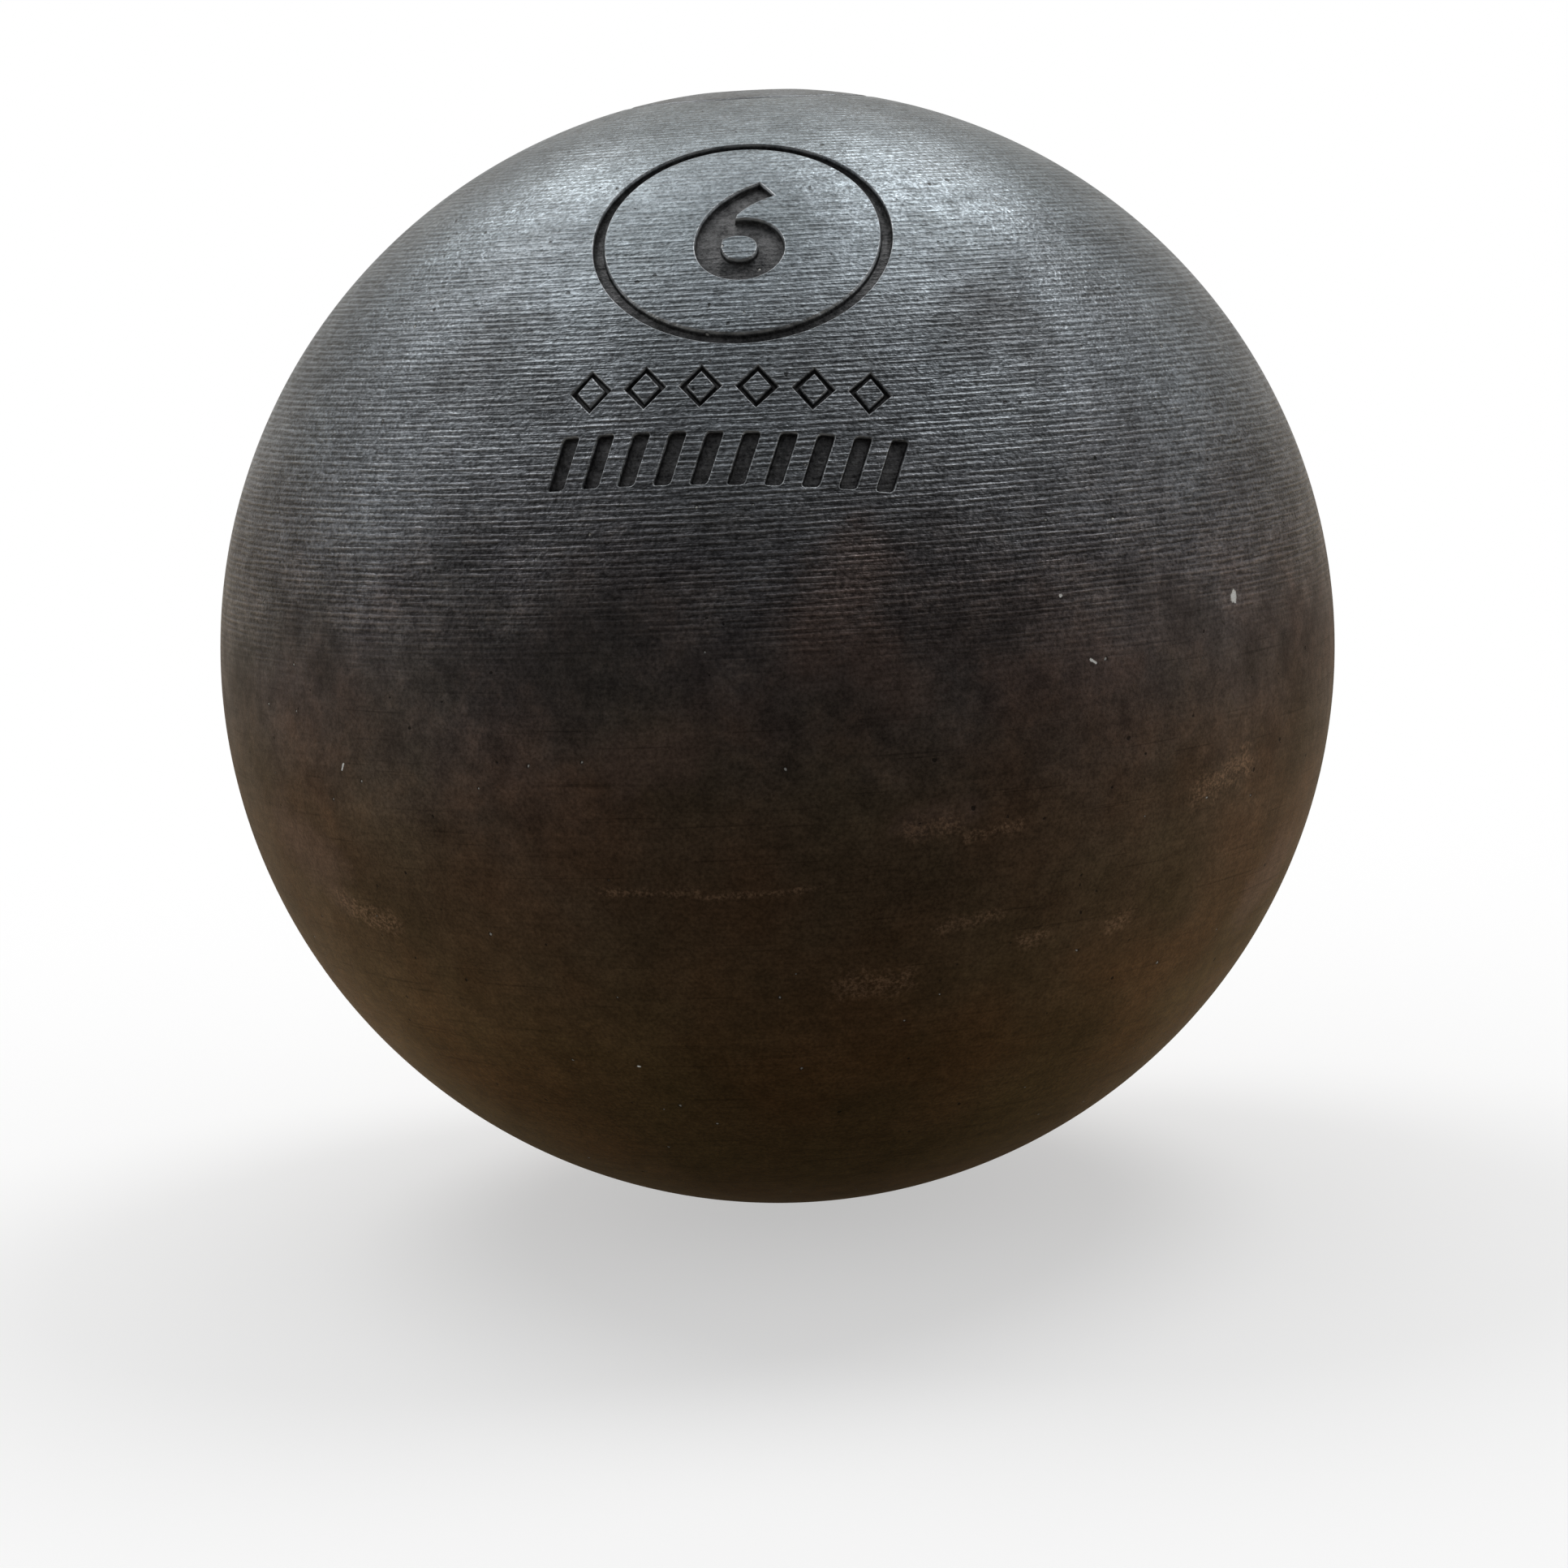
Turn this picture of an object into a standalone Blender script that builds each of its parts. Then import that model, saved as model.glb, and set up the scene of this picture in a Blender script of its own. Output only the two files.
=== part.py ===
"""A 6 kg throwing shot: a turned iron ball whose bore holds lead weights under a screw plug.

Metres, with the origin at the ball's centre and +Z along its turning axis. The bore opens at the
north pole, and the engraved marks are on the -Y side, above the equator.
"""

import math

import bmesh
import bpy
from mathutils import Matrix, Vector

MM = 0.001

# Fits shared by several pieces
CONTACT_GAP = 0.3 * MM
OVERSHOOT = 2.0 * MM
MERGE_DISTANCE = 0.01 * MM
ROUND_SEGMENTS = 32
SHARP_ANGLE = math.radians(30)

# Ball
BALL_DIAMETER = 117.0 * MM
BALL_SEGMENTS = 64
BALL_RINGS = 32

# Screw plug: a collar that is turned flush with the ball, over a neck and a threaded shank
COLLAR_DIAMETER = 25.0 * MM
COLLAR_DEPTH = 5.5 * MM
COLLAR_CLEARANCE = 0.3 * MM
EDGE_CHAMFER = 0.4 * MM
CROWN_SEGMENTS = 6
NECK_DIAMETER = 16.6 * MM
THREAD_DIAMETER = 20.0 * MM
THREAD_PITCH = 2.5 * MM
THREAD_TURNS = 5
THREAD_CLEARANCE = 0.3 * MM
TIP_CHAMFER = 1.2 * MM

# Socket for the hexagon key in the plug
KEY_ACROSS_FLATS = 10.0 * MM
KEY_DEPTH = 7.0 * MM
KEY_CHAMFER = 0.5 * MM

# Rubber seal ring round the plug's neck
SEAL_SECTION = 2.2 * MM
SEAL_SIDES = 10

# What the bore holds, from the plug down
FILL_CLEARANCE = 0.3 * MM
FILL_EDGE = 0.4 * MM
WAD_THICKNESS = 4.0 * MM
WAD_EDGE = 0.9 * MM
DISC_THICKNESS = 2.0 * MM
DISC_COUNT = 3
SLUG_LENGTH = 16.0 * MM
DRILL_POINT_ANGLE = math.radians(118)

# Engraved marks: a ring round a plain weight figure, over a fine row and a bold row
MARK_DEPTH = 0.7 * MM
MARK_LATITUDE = math.radians(48.7)
MARK_LONGITUDE = math.radians(-2.0)
MARK_LEAN = math.radians(4.5)
RING_DIAMETER = 28.5 * MM
RING_LINE = 1.2 * MM
RING_SIDES = 48
FIGURE_HEIGHT = 14.0 * MM
FIGURE_WEIGHT = 0.3 * MM
ROW_GAP = 2.3 * MM
LOZENGE_COUNT = 6
LOZENGE_WIDTH = 4.2 * MM
LOZENGE_HEIGHT = 4.6 * MM
LOZENGE_LINE = 0.9 * MM
LOZENGE_SPACING = 5.2 * MM
BAR_COUNT = 10
BAR_WIDTH = 1.7 * MM
BAR_HEIGHT = 5.2 * MM
BAR_SLANT = math.radians(15)
BAR_SPACING = 3.4 * MM

# Half sizes
BALL_RADIUS = BALL_DIAMETER / 2
COLLAR_RADIUS = COLLAR_DIAMETER / 2
NECK_RADIUS = NECK_DIAMETER / 2
THREAD_RADIUS = THREAD_DIAMETER / 2
KEY_CORNER_RADIUS = KEY_ACROSS_FLATS / math.sqrt(3)

# A 60 degree thread: its flanks, its flat crests, and the drill that leaves room to tap it
FLANK_SLOPE = math.tan(math.radians(30))
CREST_HALF_WIDTH = THREAD_PITCH / 16
THREAD_DEPTH = 0.6134 * THREAD_PITCH
WIDEST_CUT = 0.48 * THREAD_PITCH
THREAD_PHASE = math.pi / ROUND_SEGMENTS
BORE_RADIUS = (THREAD_DIAMETER - THREAD_PITCH) / 2
FILL_RADIUS = BORE_RADIUS - FILL_CLEARANCE

# The mouth of the bore, which the collar fills, and the pocket of the seal ring under it
MOUTH_RADIUS = COLLAR_RADIUS + COLLAR_CLEARANCE
SEAL_RADIUS = NECK_RADIUS + CONTACT_GAP + SEAL_SECTION / 2
POCKET_RADIUS = SEAL_RADIUS + SEAL_SECTION / 2 + CONTACT_GAP
NECK_LENGTH = max(SEAL_SECTION + 3 * CONTACT_GAP, 1.2 * THREAD_PITCH)

# Heights along the turning axis
COLLAR_Z = BALL_RADIUS - COLLAR_DEPTH
SEAT_Z = COLLAR_Z - CONTACT_GAP
SEAL_Z = COLLAR_Z - CONTACT_GAP - SEAL_SECTION / 2
POCKET_Z = SEAL_Z - SEAL_SECTION / 2 - CONTACT_GAP
THREAD_TOP_Z = COLLAR_Z - NECK_LENGTH
PLUG_END_Z = THREAD_TOP_Z - THREAD_TURNS * THREAD_PITCH
WAD_Z = PLUG_END_Z - CONTACT_GAP
FIRST_DISC_Z = WAD_Z - WAD_THICKNESS - CONTACT_GAP
DISC_SPACING = DISC_THICKNESS + CONTACT_GAP
SLUG_Z = FIRST_DISC_Z - DISC_COUNT * DISC_SPACING
POINT_SLOPE = math.tan(DRILL_POINT_ANGLE / 2)
SLUG_TIP_Z = SLUG_Z - SLUG_LENGTH - FILL_RADIUS / POINT_SLOPE
BORE_TIP_Z = SLUG_TIP_Z - CONTACT_GAP / math.sin(DRILL_POINT_ANGLE / 2)


def clear_scene():
    for obj in list(bpy.data.objects):
        bpy.data.objects.remove(obj)


def new_collection(name):
    collection = bpy.data.collections.new(name)
    bpy.context.scene.collection.children.link(collection)
    return collection


def principled(name, colour, roughness, metallic):
    material = bpy.data.materials.new(name)
    material.use_nodes = True
    shader = material.node_tree.nodes["Principled BSDF"]
    shader.inputs["Base Color"].default_value = (*colour, 1.0)
    shader.inputs["Roughness"].default_value = roughness
    shader.inputs["Metallic"].default_value = metallic
    return material


def ball_height(radius):
    """Height of the ball's surface over its centre, this far from the turning axis."""
    return math.sqrt(BALL_RADIUS**2 - radius**2)


def add_object(name, mesh, collection, material=None):
    obj = bpy.data.objects.new(name, mesh)
    collection.objects.link(obj)
    if material:
        mesh.materials.append(material)
    return obj


def turned(name, profile, segments, collection, material=None):
    """A half section of (radius, height) points, listed down its outer side, turned about Z."""
    points = [(radius, 0.0, height) for radius, height in profile]
    edges = [(index, index + 1) for index in range(len(points) - 1)]
    mesh = bpy.data.meshes.new(name)
    mesh.from_pydata(points, edges, [])
    obj = add_object(name, mesh, collection, material)
    screw = obj.modifiers.new("turning", "SCREW")
    screw.steps = segments
    screw.render_steps = segments
    screw.use_merge_vertices = True
    screw.merge_threshold = MERGE_DISTANCE
    return obj


def cut(obj, cutter):
    boolean = obj.modifiers.new(cutter.name, "BOOLEAN")
    boolean.operation = "DIFFERENCE"
    boolean.solver = "EXACT"
    boolean.object = cutter


def finish(obj):
    """Applies the modifiers, then shades the piece smooth between its sharp edges."""
    bpy.context.view_layer.update()
    graph = bpy.context.evaluated_depsgraph_get()
    mesh = bpy.data.meshes.new_from_object(obj.evaluated_get(graph))
    mesh.name = obj.name
    obj.modifiers.clear()
    bm = bmesh.new()
    bm.from_mesh(mesh)
    bmesh.ops.remove_doubles(bm, verts=bm.verts, dist=MERGE_DISTANCE)
    bmesh.ops.triangulate(bm, faces=bm.faces, quad_method="BEAUTY", ngon_method="BEAUTY")
    bmesh.ops.dissolve_degenerate(bm, edges=bm.edges, dist=MERGE_DISTANCE)
    bm.to_mesh(mesh)
    bm.free()
    obj.data = mesh
    mesh.shade_smooth()
    mesh.set_sharp_from_angle(angle=SHARP_ANGLE)
    return obj


def as_cutter(obj):
    obj.hide_render = True
    obj.display_type = "WIRE"
    return obj


def mesh_from(name, bm):
    mesh = bpy.data.meshes.new(name)
    bm.to_mesh(mesh)
    bm.free()
    return mesh


def helical_cutter(name, section, start_z, end_z, collection):
    """A closed section of (radius, height) points, swept down a right-hand helix of the thread's pitch."""
    turns = (start_z - end_z) / THREAD_PITCH
    steps = math.ceil(turns * ROUND_SEGMENTS)
    bm = bmesh.new()
    corners = [bm.verts.new((radius, 0.0, start_z + height)) for radius, height in section]
    bm.faces.new(corners)
    bmesh.ops.spin(
        bm,
        geom=bm.verts[:] + bm.edges[:] + bm.faces[:],
        cent=(0.0, 0.0, 0.0),
        axis=(0.0, 0.0, 1.0),
        dvec=(0.0, 0.0, -THREAD_PITCH / ROUND_SEGMENTS),
        angle=-math.tau * steps / ROUND_SEGMENTS,
        steps=steps,
        use_merge=False,
        use_duplicate=False,
    )
    bmesh.ops.recalc_face_normals(bm, faces=bm.faces)
    cutter = as_cutter(add_object(name, mesh_from(name, bm), collection))
    cutter.rotation_euler.z = THREAD_PHASE
    cutter.location.z = THREAD_PITCH * THREAD_PHASE / math.tau
    return cutter


def thread_groove(collection):
    """Cuts the plug's thread: the space between its ridges, a half pitch from the ridge."""
    root = THREAD_RADIUS - THREAD_DEPTH
    crest = THREAD_PITCH / 2 - CREST_HALF_WIDTH
    outer = THREAD_RADIUS + (WIDEST_CUT - crest) / FLANK_SLOPE
    narrow = crest - THREAD_DEPTH * FLANK_SLOPE
    section = [(root, narrow), (outer, WIDEST_CUT), (outer, -WIDEST_CUT), (root, -narrow)]
    start_z = THREAD_TOP_Z + THREAD_PITCH / 2
    return helical_cutter("thread_groove", section, start_z, PLUG_END_Z - THREAD_PITCH, collection)


def thread_tap(collection):
    """Cuts the ball's thread: the plug's ridge, larger by the thread's clearance."""
    outer = THREAD_RADIUS + THREAD_CLEARANCE
    inner = outer - (WIDEST_CUT - CREST_HALF_WIDTH) / FLANK_SLOPE
    narrow = CREST_HALF_WIDTH
    section = [(inner, WIDEST_CUT), (outer, narrow), (outer, -narrow), (inner, -WIDEST_CUT)]
    start_z = THREAD_TOP_Z + THREAD_PITCH
    return helical_cutter("thread_tap", section, start_z, PLUG_END_Z - THREAD_PITCH, collection)


def mark_place(right, up):
    """Stands a flat mark on the ball, its +Z facing out, at arcs right and up from the ring's centre."""
    return (
        Matrix.Rotation(MARK_LONGITUDE, 4, "Z")
        @ Matrix.Rotation(math.radians(90) - MARK_LATITUDE, 4, "X")
        @ Matrix.Rotation(-MARK_LEAN, 4, "Z")
        @ Matrix.Rotation(-up / BALL_RADIUS, 4, "X")
        @ Matrix.Rotation(right / BALL_RADIUS, 4, "Y")
        @ Matrix.Translation((0.0, 0.0, BALL_RADIUS))
    )


def outline_mark(sides, outer, inner=None, sag=0.0):
    """A prism that cuts a regular outline, or the line between two, to the marks' depth.

    Each size is a half width and a half height. The sag is the ball's fall at the mark's line.
    """
    bm = bmesh.new()
    for half_width, half_height in filter(None, (outer, inner)):
        circle = bmesh.ops.create_circle(bm, segments=sides, radius=1.0)
        bmesh.ops.scale(bm, vec=(half_width, half_height, 1.0), verts=circle["verts"])
    if inner:
        bmesh.ops.bridge_loops(bm, edges=bm.edges)
    else:
        bm.faces.new(bm.verts)
    return raise_mark(bm, sag)


def raise_mark(bm, sag=0.0):
    """Turns a flat mark into a prism, from its engraved floor to clear of the ball."""
    floor = -sag - MARK_DEPTH
    bmesh.ops.translate(bm, vec=(0.0, 0.0, floor), verts=bm.verts)
    raised = bmesh.ops.extrude_face_region(bm, geom=bm.faces[:])["geom"]
    top = [part for part in raised if isinstance(part, bmesh.types.BMVert)]
    bmesh.ops.translate(bm, vec=(0.0, 0.0, OVERSHOOT - floor), verts=top)
    bmesh.ops.recalc_face_normals(bm, faces=bm.faces)
    return bm


def bar_mark():
    """A bar that slants to the right as it rises."""
    bm = bmesh.new()
    slant = BAR_HEIGHT / 2 * math.tan(BAR_SLANT)
    corners = []
    for side, rise in ((-1, -1), (1, -1), (1, 1), (-1, 1)):
        corners.append(bm.verts.new((side * BAR_WIDTH / 2 + rise * slant, rise * BAR_HEIGHT / 2, 0.0)))
    bm.faces.new(corners)
    return raise_mark(bm)


def figure_mark():
    """The weight class in kilograms, as a plain figure whose middle is the ring's centre."""
    curve = bpy.data.curves.new("figure", "FONT")
    curve.body = "6"
    curve.size = FIGURE_HEIGHT
    curve.offset = FIGURE_WEIGHT
    curve.resolution_u = 3
    obj = bpy.data.objects.new("figure", curve)
    flat = bpy.data.meshes.new_from_object(obj)
    bpy.data.objects.remove(obj)
    bm = bmesh.new()
    bm.from_mesh(flat)
    bpy.data.meshes.remove(flat)
    bmesh.ops.remove_doubles(bm, verts=bm.verts, dist=MERGE_DISTANCE)
    across = [vertex.co.x for vertex in bm.verts]
    upward = [vertex.co.y for vertex in bm.verts]
    middle = Vector((min(across) + max(across), min(upward) + max(upward), 0.0)) / 2
    bmesh.ops.translate(bm, vec=-middle, verts=bm.verts)
    scale = FIGURE_HEIGHT / (max(upward) - min(upward))
    bmesh.ops.scale(bm, vec=(scale, scale, 1.0), verts=bm.verts)
    return raise_mark(bm, BALL_RADIUS - ball_height(FIGURE_HEIGHT / 4))


def engraving(collection):
    """Every mark in one cutter."""
    ring_radius = RING_DIAMETER / 2
    line_middle = ring_radius - RING_LINE / 2
    fine_drop = -(ring_radius + ROW_GAP + LOZENGE_HEIGHT / 2)
    bold_drop = fine_drop - LOZENGE_HEIGHT / 2 - ROW_GAP - BAR_HEIGHT / 2
    inner_radius = ring_radius - RING_LINE
    ring_sag = BALL_RADIUS - ball_height(line_middle)
    ring = outline_mark(RING_SIDES, (ring_radius, ring_radius), (inner_radius, inner_radius), ring_sag)
    marks = [(ring, 0.0, 0.0)]
    marks.append((figure_mark(), 0.0, 0.0))
    lozenge = (LOZENGE_WIDTH / 2, LOZENGE_HEIGHT / 2)
    lozenge_inside = tuple(half - LOZENGE_LINE for half in lozenge)
    for index in range(LOZENGE_COUNT):
        right = (index - (LOZENGE_COUNT - 1) / 2) * LOZENGE_SPACING
        marks.append((outline_mark(4, lozenge, lozenge_inside), right, fine_drop))
    for index in range(BAR_COUNT):
        right = (index - (BAR_COUNT - 1) / 2) * BAR_SPACING
        marks.append((bar_mark(), right, bold_drop))
    engraved = bmesh.new()
    for bm, right, up in marks:
        bmesh.ops.transform(bm, matrix=mark_place(right, up), verts=bm.verts)
        mesh = mesh_from("mark", bm)
        engraved.from_mesh(mesh)
        bpy.data.meshes.remove(mesh)
    return as_cutter(add_object("engraving", mesh_from("engraving", engraved), collection))


def bore_tool(collection):
    """Drills, counterbores and chamfers the bore at the north pole."""
    rim_radius = MOUTH_RADIUS + EDGE_CHAMFER
    rim_z = ball_height(rim_radius)
    profile = [
        (0.0, rim_z + OVERSHOOT),
        (rim_radius + OVERSHOOT, rim_z + OVERSHOOT),
        (MOUTH_RADIUS, rim_z - EDGE_CHAMFER),
        (MOUTH_RADIUS, SEAT_Z),
        (POCKET_RADIUS, SEAT_Z),
        (POCKET_RADIUS, POCKET_Z),
        (BORE_RADIUS, POCKET_Z),
        (BORE_RADIUS, BORE_TIP_Z + BORE_RADIUS / POINT_SLOPE),
        (0.0, BORE_TIP_Z),
    ]
    return as_cutter(turned("bore_tool", profile, ROUND_SEGMENTS, collection))


def iron_ball(parts, cutters):
    """The turned ball, bored and tapped at its north pole, then engraved."""
    profile = []
    for ring in range(BALL_RINGS + 1):
        angle = math.pi * ring / BALL_RINGS
        profile.append((BALL_RADIUS * math.sin(angle), BALL_RADIUS * math.cos(angle)))
    iron = principled("turned_iron", (0.045, 0.043, 0.044), 0.45, 0.6)
    ball = turned("iron_ball", profile, BALL_SEGMENTS, parts, iron)
    cut(ball, bore_tool(cutters))
    cut(ball, thread_tap(cutters))
    cut(ball, engraving(cutters))
    return finish(ball)


def key_socket(collection):
    """The hexagonal hole for the key, with its flats to the right and left."""
    bm = bmesh.new()
    depth = KEY_DEPTH + OVERSHOOT
    bmesh.ops.create_cone(
        bm,
        cap_ends=True,
        segments=6,
        radius1=KEY_CORNER_RADIUS,
        radius2=KEY_CORNER_RADIUS,
        depth=depth,
        matrix=Matrix.Translation((0.0, 0.0, BALL_RADIUS - KEY_DEPTH + depth / 2)),
    )
    return as_cutter(add_object("key_socket", mesh_from("key_socket", bm), collection))


def socket_countersink(collection):
    """A 45 degree cone that breaks the socket's corners."""
    bm = bmesh.new()
    depth = 2 * KEY_CHAMFER + OVERSHOOT
    bottom = ball_height(KEY_CORNER_RADIUS) - KEY_CHAMFER
    bmesh.ops.create_cone(
        bm,
        cap_ends=True,
        segments=ROUND_SEGMENTS,
        radius1=KEY_CORNER_RADIUS - KEY_CHAMFER / 2,
        radius2=KEY_CORNER_RADIUS - KEY_CHAMFER / 2 + depth,
        depth=depth,
        matrix=Matrix.Translation((0.0, 0.0, bottom + depth / 2)),
    )
    return as_cutter(add_object("socket_countersink", mesh_from("socket_countersink", bm), collection))


def screw_plug(parts, cutters):
    """The steel plug, its crown turned to the ball's own curve."""
    crown_radius = COLLAR_RADIUS - EDGE_CHAMFER
    profile = []
    for index in range(CROWN_SEGMENTS + 1):
        radius = crown_radius * index / CROWN_SEGMENTS
        profile.append((radius, ball_height(radius)))
    profile += [
        (COLLAR_RADIUS, ball_height(crown_radius) - EDGE_CHAMFER),
        (COLLAR_RADIUS, COLLAR_Z),
        (NECK_RADIUS, COLLAR_Z),
        (NECK_RADIUS, THREAD_TOP_Z),
        (THREAD_RADIUS, THREAD_TOP_Z - (THREAD_RADIUS - NECK_RADIUS)),
        (THREAD_RADIUS, PLUG_END_Z + TIP_CHAMFER),
        (THREAD_RADIUS - TIP_CHAMFER, PLUG_END_Z),
        (0.0, PLUG_END_Z),
    ]
    steel = principled("blacked_steel", (0.055, 0.055, 0.058), 0.4, 0.8)
    plug = turned("screw_plug", profile, ROUND_SEGMENTS, parts, steel)
    cut(plug, thread_groove(cutters))
    cut(plug, key_socket(cutters))
    cut(plug, socket_countersink(cutters))
    return finish(plug)


def seal_ring(parts):
    """The rubber ring that keeps water out of the bore."""
    bpy.ops.mesh.primitive_torus_add(
        major_segments=ROUND_SEGMENTS,
        minor_segments=SEAL_SIDES,
        major_radius=SEAL_RADIUS,
        minor_radius=SEAL_SECTION / 2,
        location=(0.0, 0.0, SEAL_Z),
    )
    ring = bpy.context.object
    ring.name = "seal_ring"
    bpy.context.collection.objects.unlink(ring)
    parts.objects.link(ring)
    ring.data.materials.append(principled("seal_rubber", (0.02, 0.02, 0.021), 0.7, 0.0))
    return finish(ring)


def filling(name, thickness, edge, parts, material):
    """A round piece that drops into the bore, with its top face at its own origin."""
    profile = [
        (0.0, 0.0),
        (FILL_RADIUS - edge, 0.0),
        (FILL_RADIUS, -edge),
        (FILL_RADIUS, -thickness + edge),
        (FILL_RADIUS - edge, -thickness),
        (0.0, -thickness),
    ]
    return turned(name, profile, ROUND_SEGMENTS, parts, material)


def packing_wad(parts):
    """The felt pad that the plug squeezes, so that the lead can't rattle."""
    felt = principled("grey_felt", (0.30, 0.28, 0.25), 0.95, 0.0)
    wad = finish(filling("packing_wad", WAD_THICKNESS, WAD_EDGE, parts, felt))
    wad.location.z = WAD_Z
    return wad


def trim_discs(parts, lead):
    """Thin lead discs, added or taken out to bring the shot to its weight."""
    first = finish(filling("trim_disc_1", DISC_THICKNESS, FILL_EDGE, parts, lead))
    first.location.z = FIRST_DISC_Z
    for number in range(1, DISC_COUNT):
        disc = bpy.data.objects.new(f"trim_disc_{number + 1}", first.data)
        disc.location.z = FIRST_DISC_Z - number * DISC_SPACING
        parts.objects.link(disc)


def lead_slug(parts, lead):
    """The cast lead weight, pointed to fit the end of the drilled bore."""
    profile = [
        (0.0, 0.0),
        (FILL_RADIUS - FILL_EDGE, 0.0),
        (FILL_RADIUS, -FILL_EDGE),
        (FILL_RADIUS, -SLUG_LENGTH),
        (0.0, SLUG_TIP_Z - SLUG_Z),
    ]
    slug = finish(turned("lead_slug", profile, ROUND_SEGMENTS, parts, lead))
    slug.location.z = SLUG_Z
    return slug


def hang_on_screw_axis(pieces, parts):
    """Parents what the screw lifts to an empty on the axis, level with the collar's underside."""
    axis = bpy.data.objects.new("screw_axis", None)
    axis.location.z = COLLAR_Z
    axis.empty_display_size = COLLAR_RADIUS
    parts.objects.link(axis)
    bpy.context.view_layer.update()
    for piece in pieces:
        piece.parent = axis
        piece.matrix_parent_inverse = axis.matrix_world.inverted()


def main():
    clear_scene()
    parts = new_collection("shot_put")
    cutters = new_collection("cutters")
    lead = principled("lead", (0.23, 0.24, 0.26), 0.55, 0.7)
    iron_ball(parts, cutters)
    plug = screw_plug(parts, cutters)
    ring = seal_ring(parts)
    packing_wad(parts)
    trim_discs(parts, lead)
    lead_slug(parts, lead)
    hang_on_screw_axis([plug, ring], parts)


main()
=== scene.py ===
"""A 6 kg throwing shot on a pale floor: turned iron, a screw plug in its pole, and the lead it holds.

Metres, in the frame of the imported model: the origin is the ball's centre, +Z its turning axis, and the
engraved marks face -Y. Every piece here stands in for a CAD node, which it hides.
"""

import math

import bmesh
import bpy
from mathutils import Matrix, Vector, noise
from mathutils.geometry import intersect_point_line

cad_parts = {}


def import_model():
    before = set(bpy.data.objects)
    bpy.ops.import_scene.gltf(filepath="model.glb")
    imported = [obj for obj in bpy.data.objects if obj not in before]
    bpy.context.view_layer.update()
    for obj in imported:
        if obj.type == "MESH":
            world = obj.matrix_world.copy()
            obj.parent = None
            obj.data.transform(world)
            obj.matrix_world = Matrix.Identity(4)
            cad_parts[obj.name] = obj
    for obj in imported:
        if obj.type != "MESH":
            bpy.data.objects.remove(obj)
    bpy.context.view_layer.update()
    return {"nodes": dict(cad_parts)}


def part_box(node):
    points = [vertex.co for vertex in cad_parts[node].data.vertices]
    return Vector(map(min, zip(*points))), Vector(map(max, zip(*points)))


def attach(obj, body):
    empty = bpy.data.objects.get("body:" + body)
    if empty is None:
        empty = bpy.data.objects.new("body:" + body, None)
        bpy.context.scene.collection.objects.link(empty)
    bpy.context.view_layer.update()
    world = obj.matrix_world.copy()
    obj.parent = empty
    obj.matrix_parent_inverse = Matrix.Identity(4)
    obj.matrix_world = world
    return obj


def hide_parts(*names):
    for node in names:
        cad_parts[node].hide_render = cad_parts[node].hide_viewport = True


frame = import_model()

MM = 0.001

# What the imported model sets
ball_low, ball_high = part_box("iron_ball")
plug_low, plug_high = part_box("screw_plug")
seal_low, seal_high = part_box("seal_ring")
wad_low, wad_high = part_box("packing_wad")
slug_low, slug_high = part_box("lead_slug")
BALL_RADIUS = (ball_high.x - ball_low.x) / 2
COLLAR_RADIUS = (plug_high.x - plug_low.x) / 2
PLUG_END_Z = plug_low.z
SEAL_SECTION = seal_high.z - seal_low.z
SEAL_RADIUS = seal_high.x - SEAL_SECTION / 2
SEAL_Z = (seal_high.z + seal_low.z) / 2
FILL_RADIUS = wad_high.x

# The plug and the bore that takes it
CONTACT_GAP = 0.3 * MM
COLLAR_CLEARANCE = 0.3 * MM
EDGE_CHAMFER = 0.4 * MM
THREAD_RADIUS = 10.0 * MM
THREAD_PITCH = 2.5 * MM
THREAD_CLEARANCE = 0.3 * MM
TIP_CHAMFER = 1.2 * MM
NECK_RADIUS = 8.3 * MM
KEY_ACROSS_FLATS = 10.0 * MM
KEY_DEPTH = 7.0 * MM
KEY_CHAMFER = 0.5 * MM
KEY_CORNER = 0.25 * MM
UNDER_EDGE = 0.2 * MM
SEAL_FLASH = 0.04 * MM
DRILL_POINT_ANGLE = math.radians(118)
COLLAR_Z = SEAL_Z + SEAL_SECTION / 2 + CONTACT_GAP
SEAT_Z = COLLAR_Z - CONTACT_GAP
POCKET_Z = SEAL_Z - SEAL_SECTION / 2 - CONTACT_GAP
POCKET_RADIUS = SEAL_RADIUS + SEAL_SECTION / 2 + CONTACT_GAP
MOUTH_RADIUS = COLLAR_RADIUS + COLLAR_CLEARANCE
THREAD_TOP_Z = COLLAR_Z - 1.24 * THREAD_PITCH
BORE_RADIUS = THREAD_RADIUS - THREAD_PITCH / 2
KEY_CORNER_RADIUS = KEY_ACROSS_FLATS / math.sqrt(3)
POINT_SLOPE = math.tan(DRILL_POINT_ANGLE / 2)
BORE_TIP_Z = slug_low.z - CONTACT_GAP / math.sin(DRILL_POINT_ANGLE / 2)
FLANK_SLOPE = math.tan(math.radians(30))
CREST_HALF_WIDTH = THREAD_PITCH / 16
THREAD_DEPTH = 0.6134 * THREAD_PITCH
WIDEST_CUT = 0.48 * THREAD_PITCH

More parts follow.
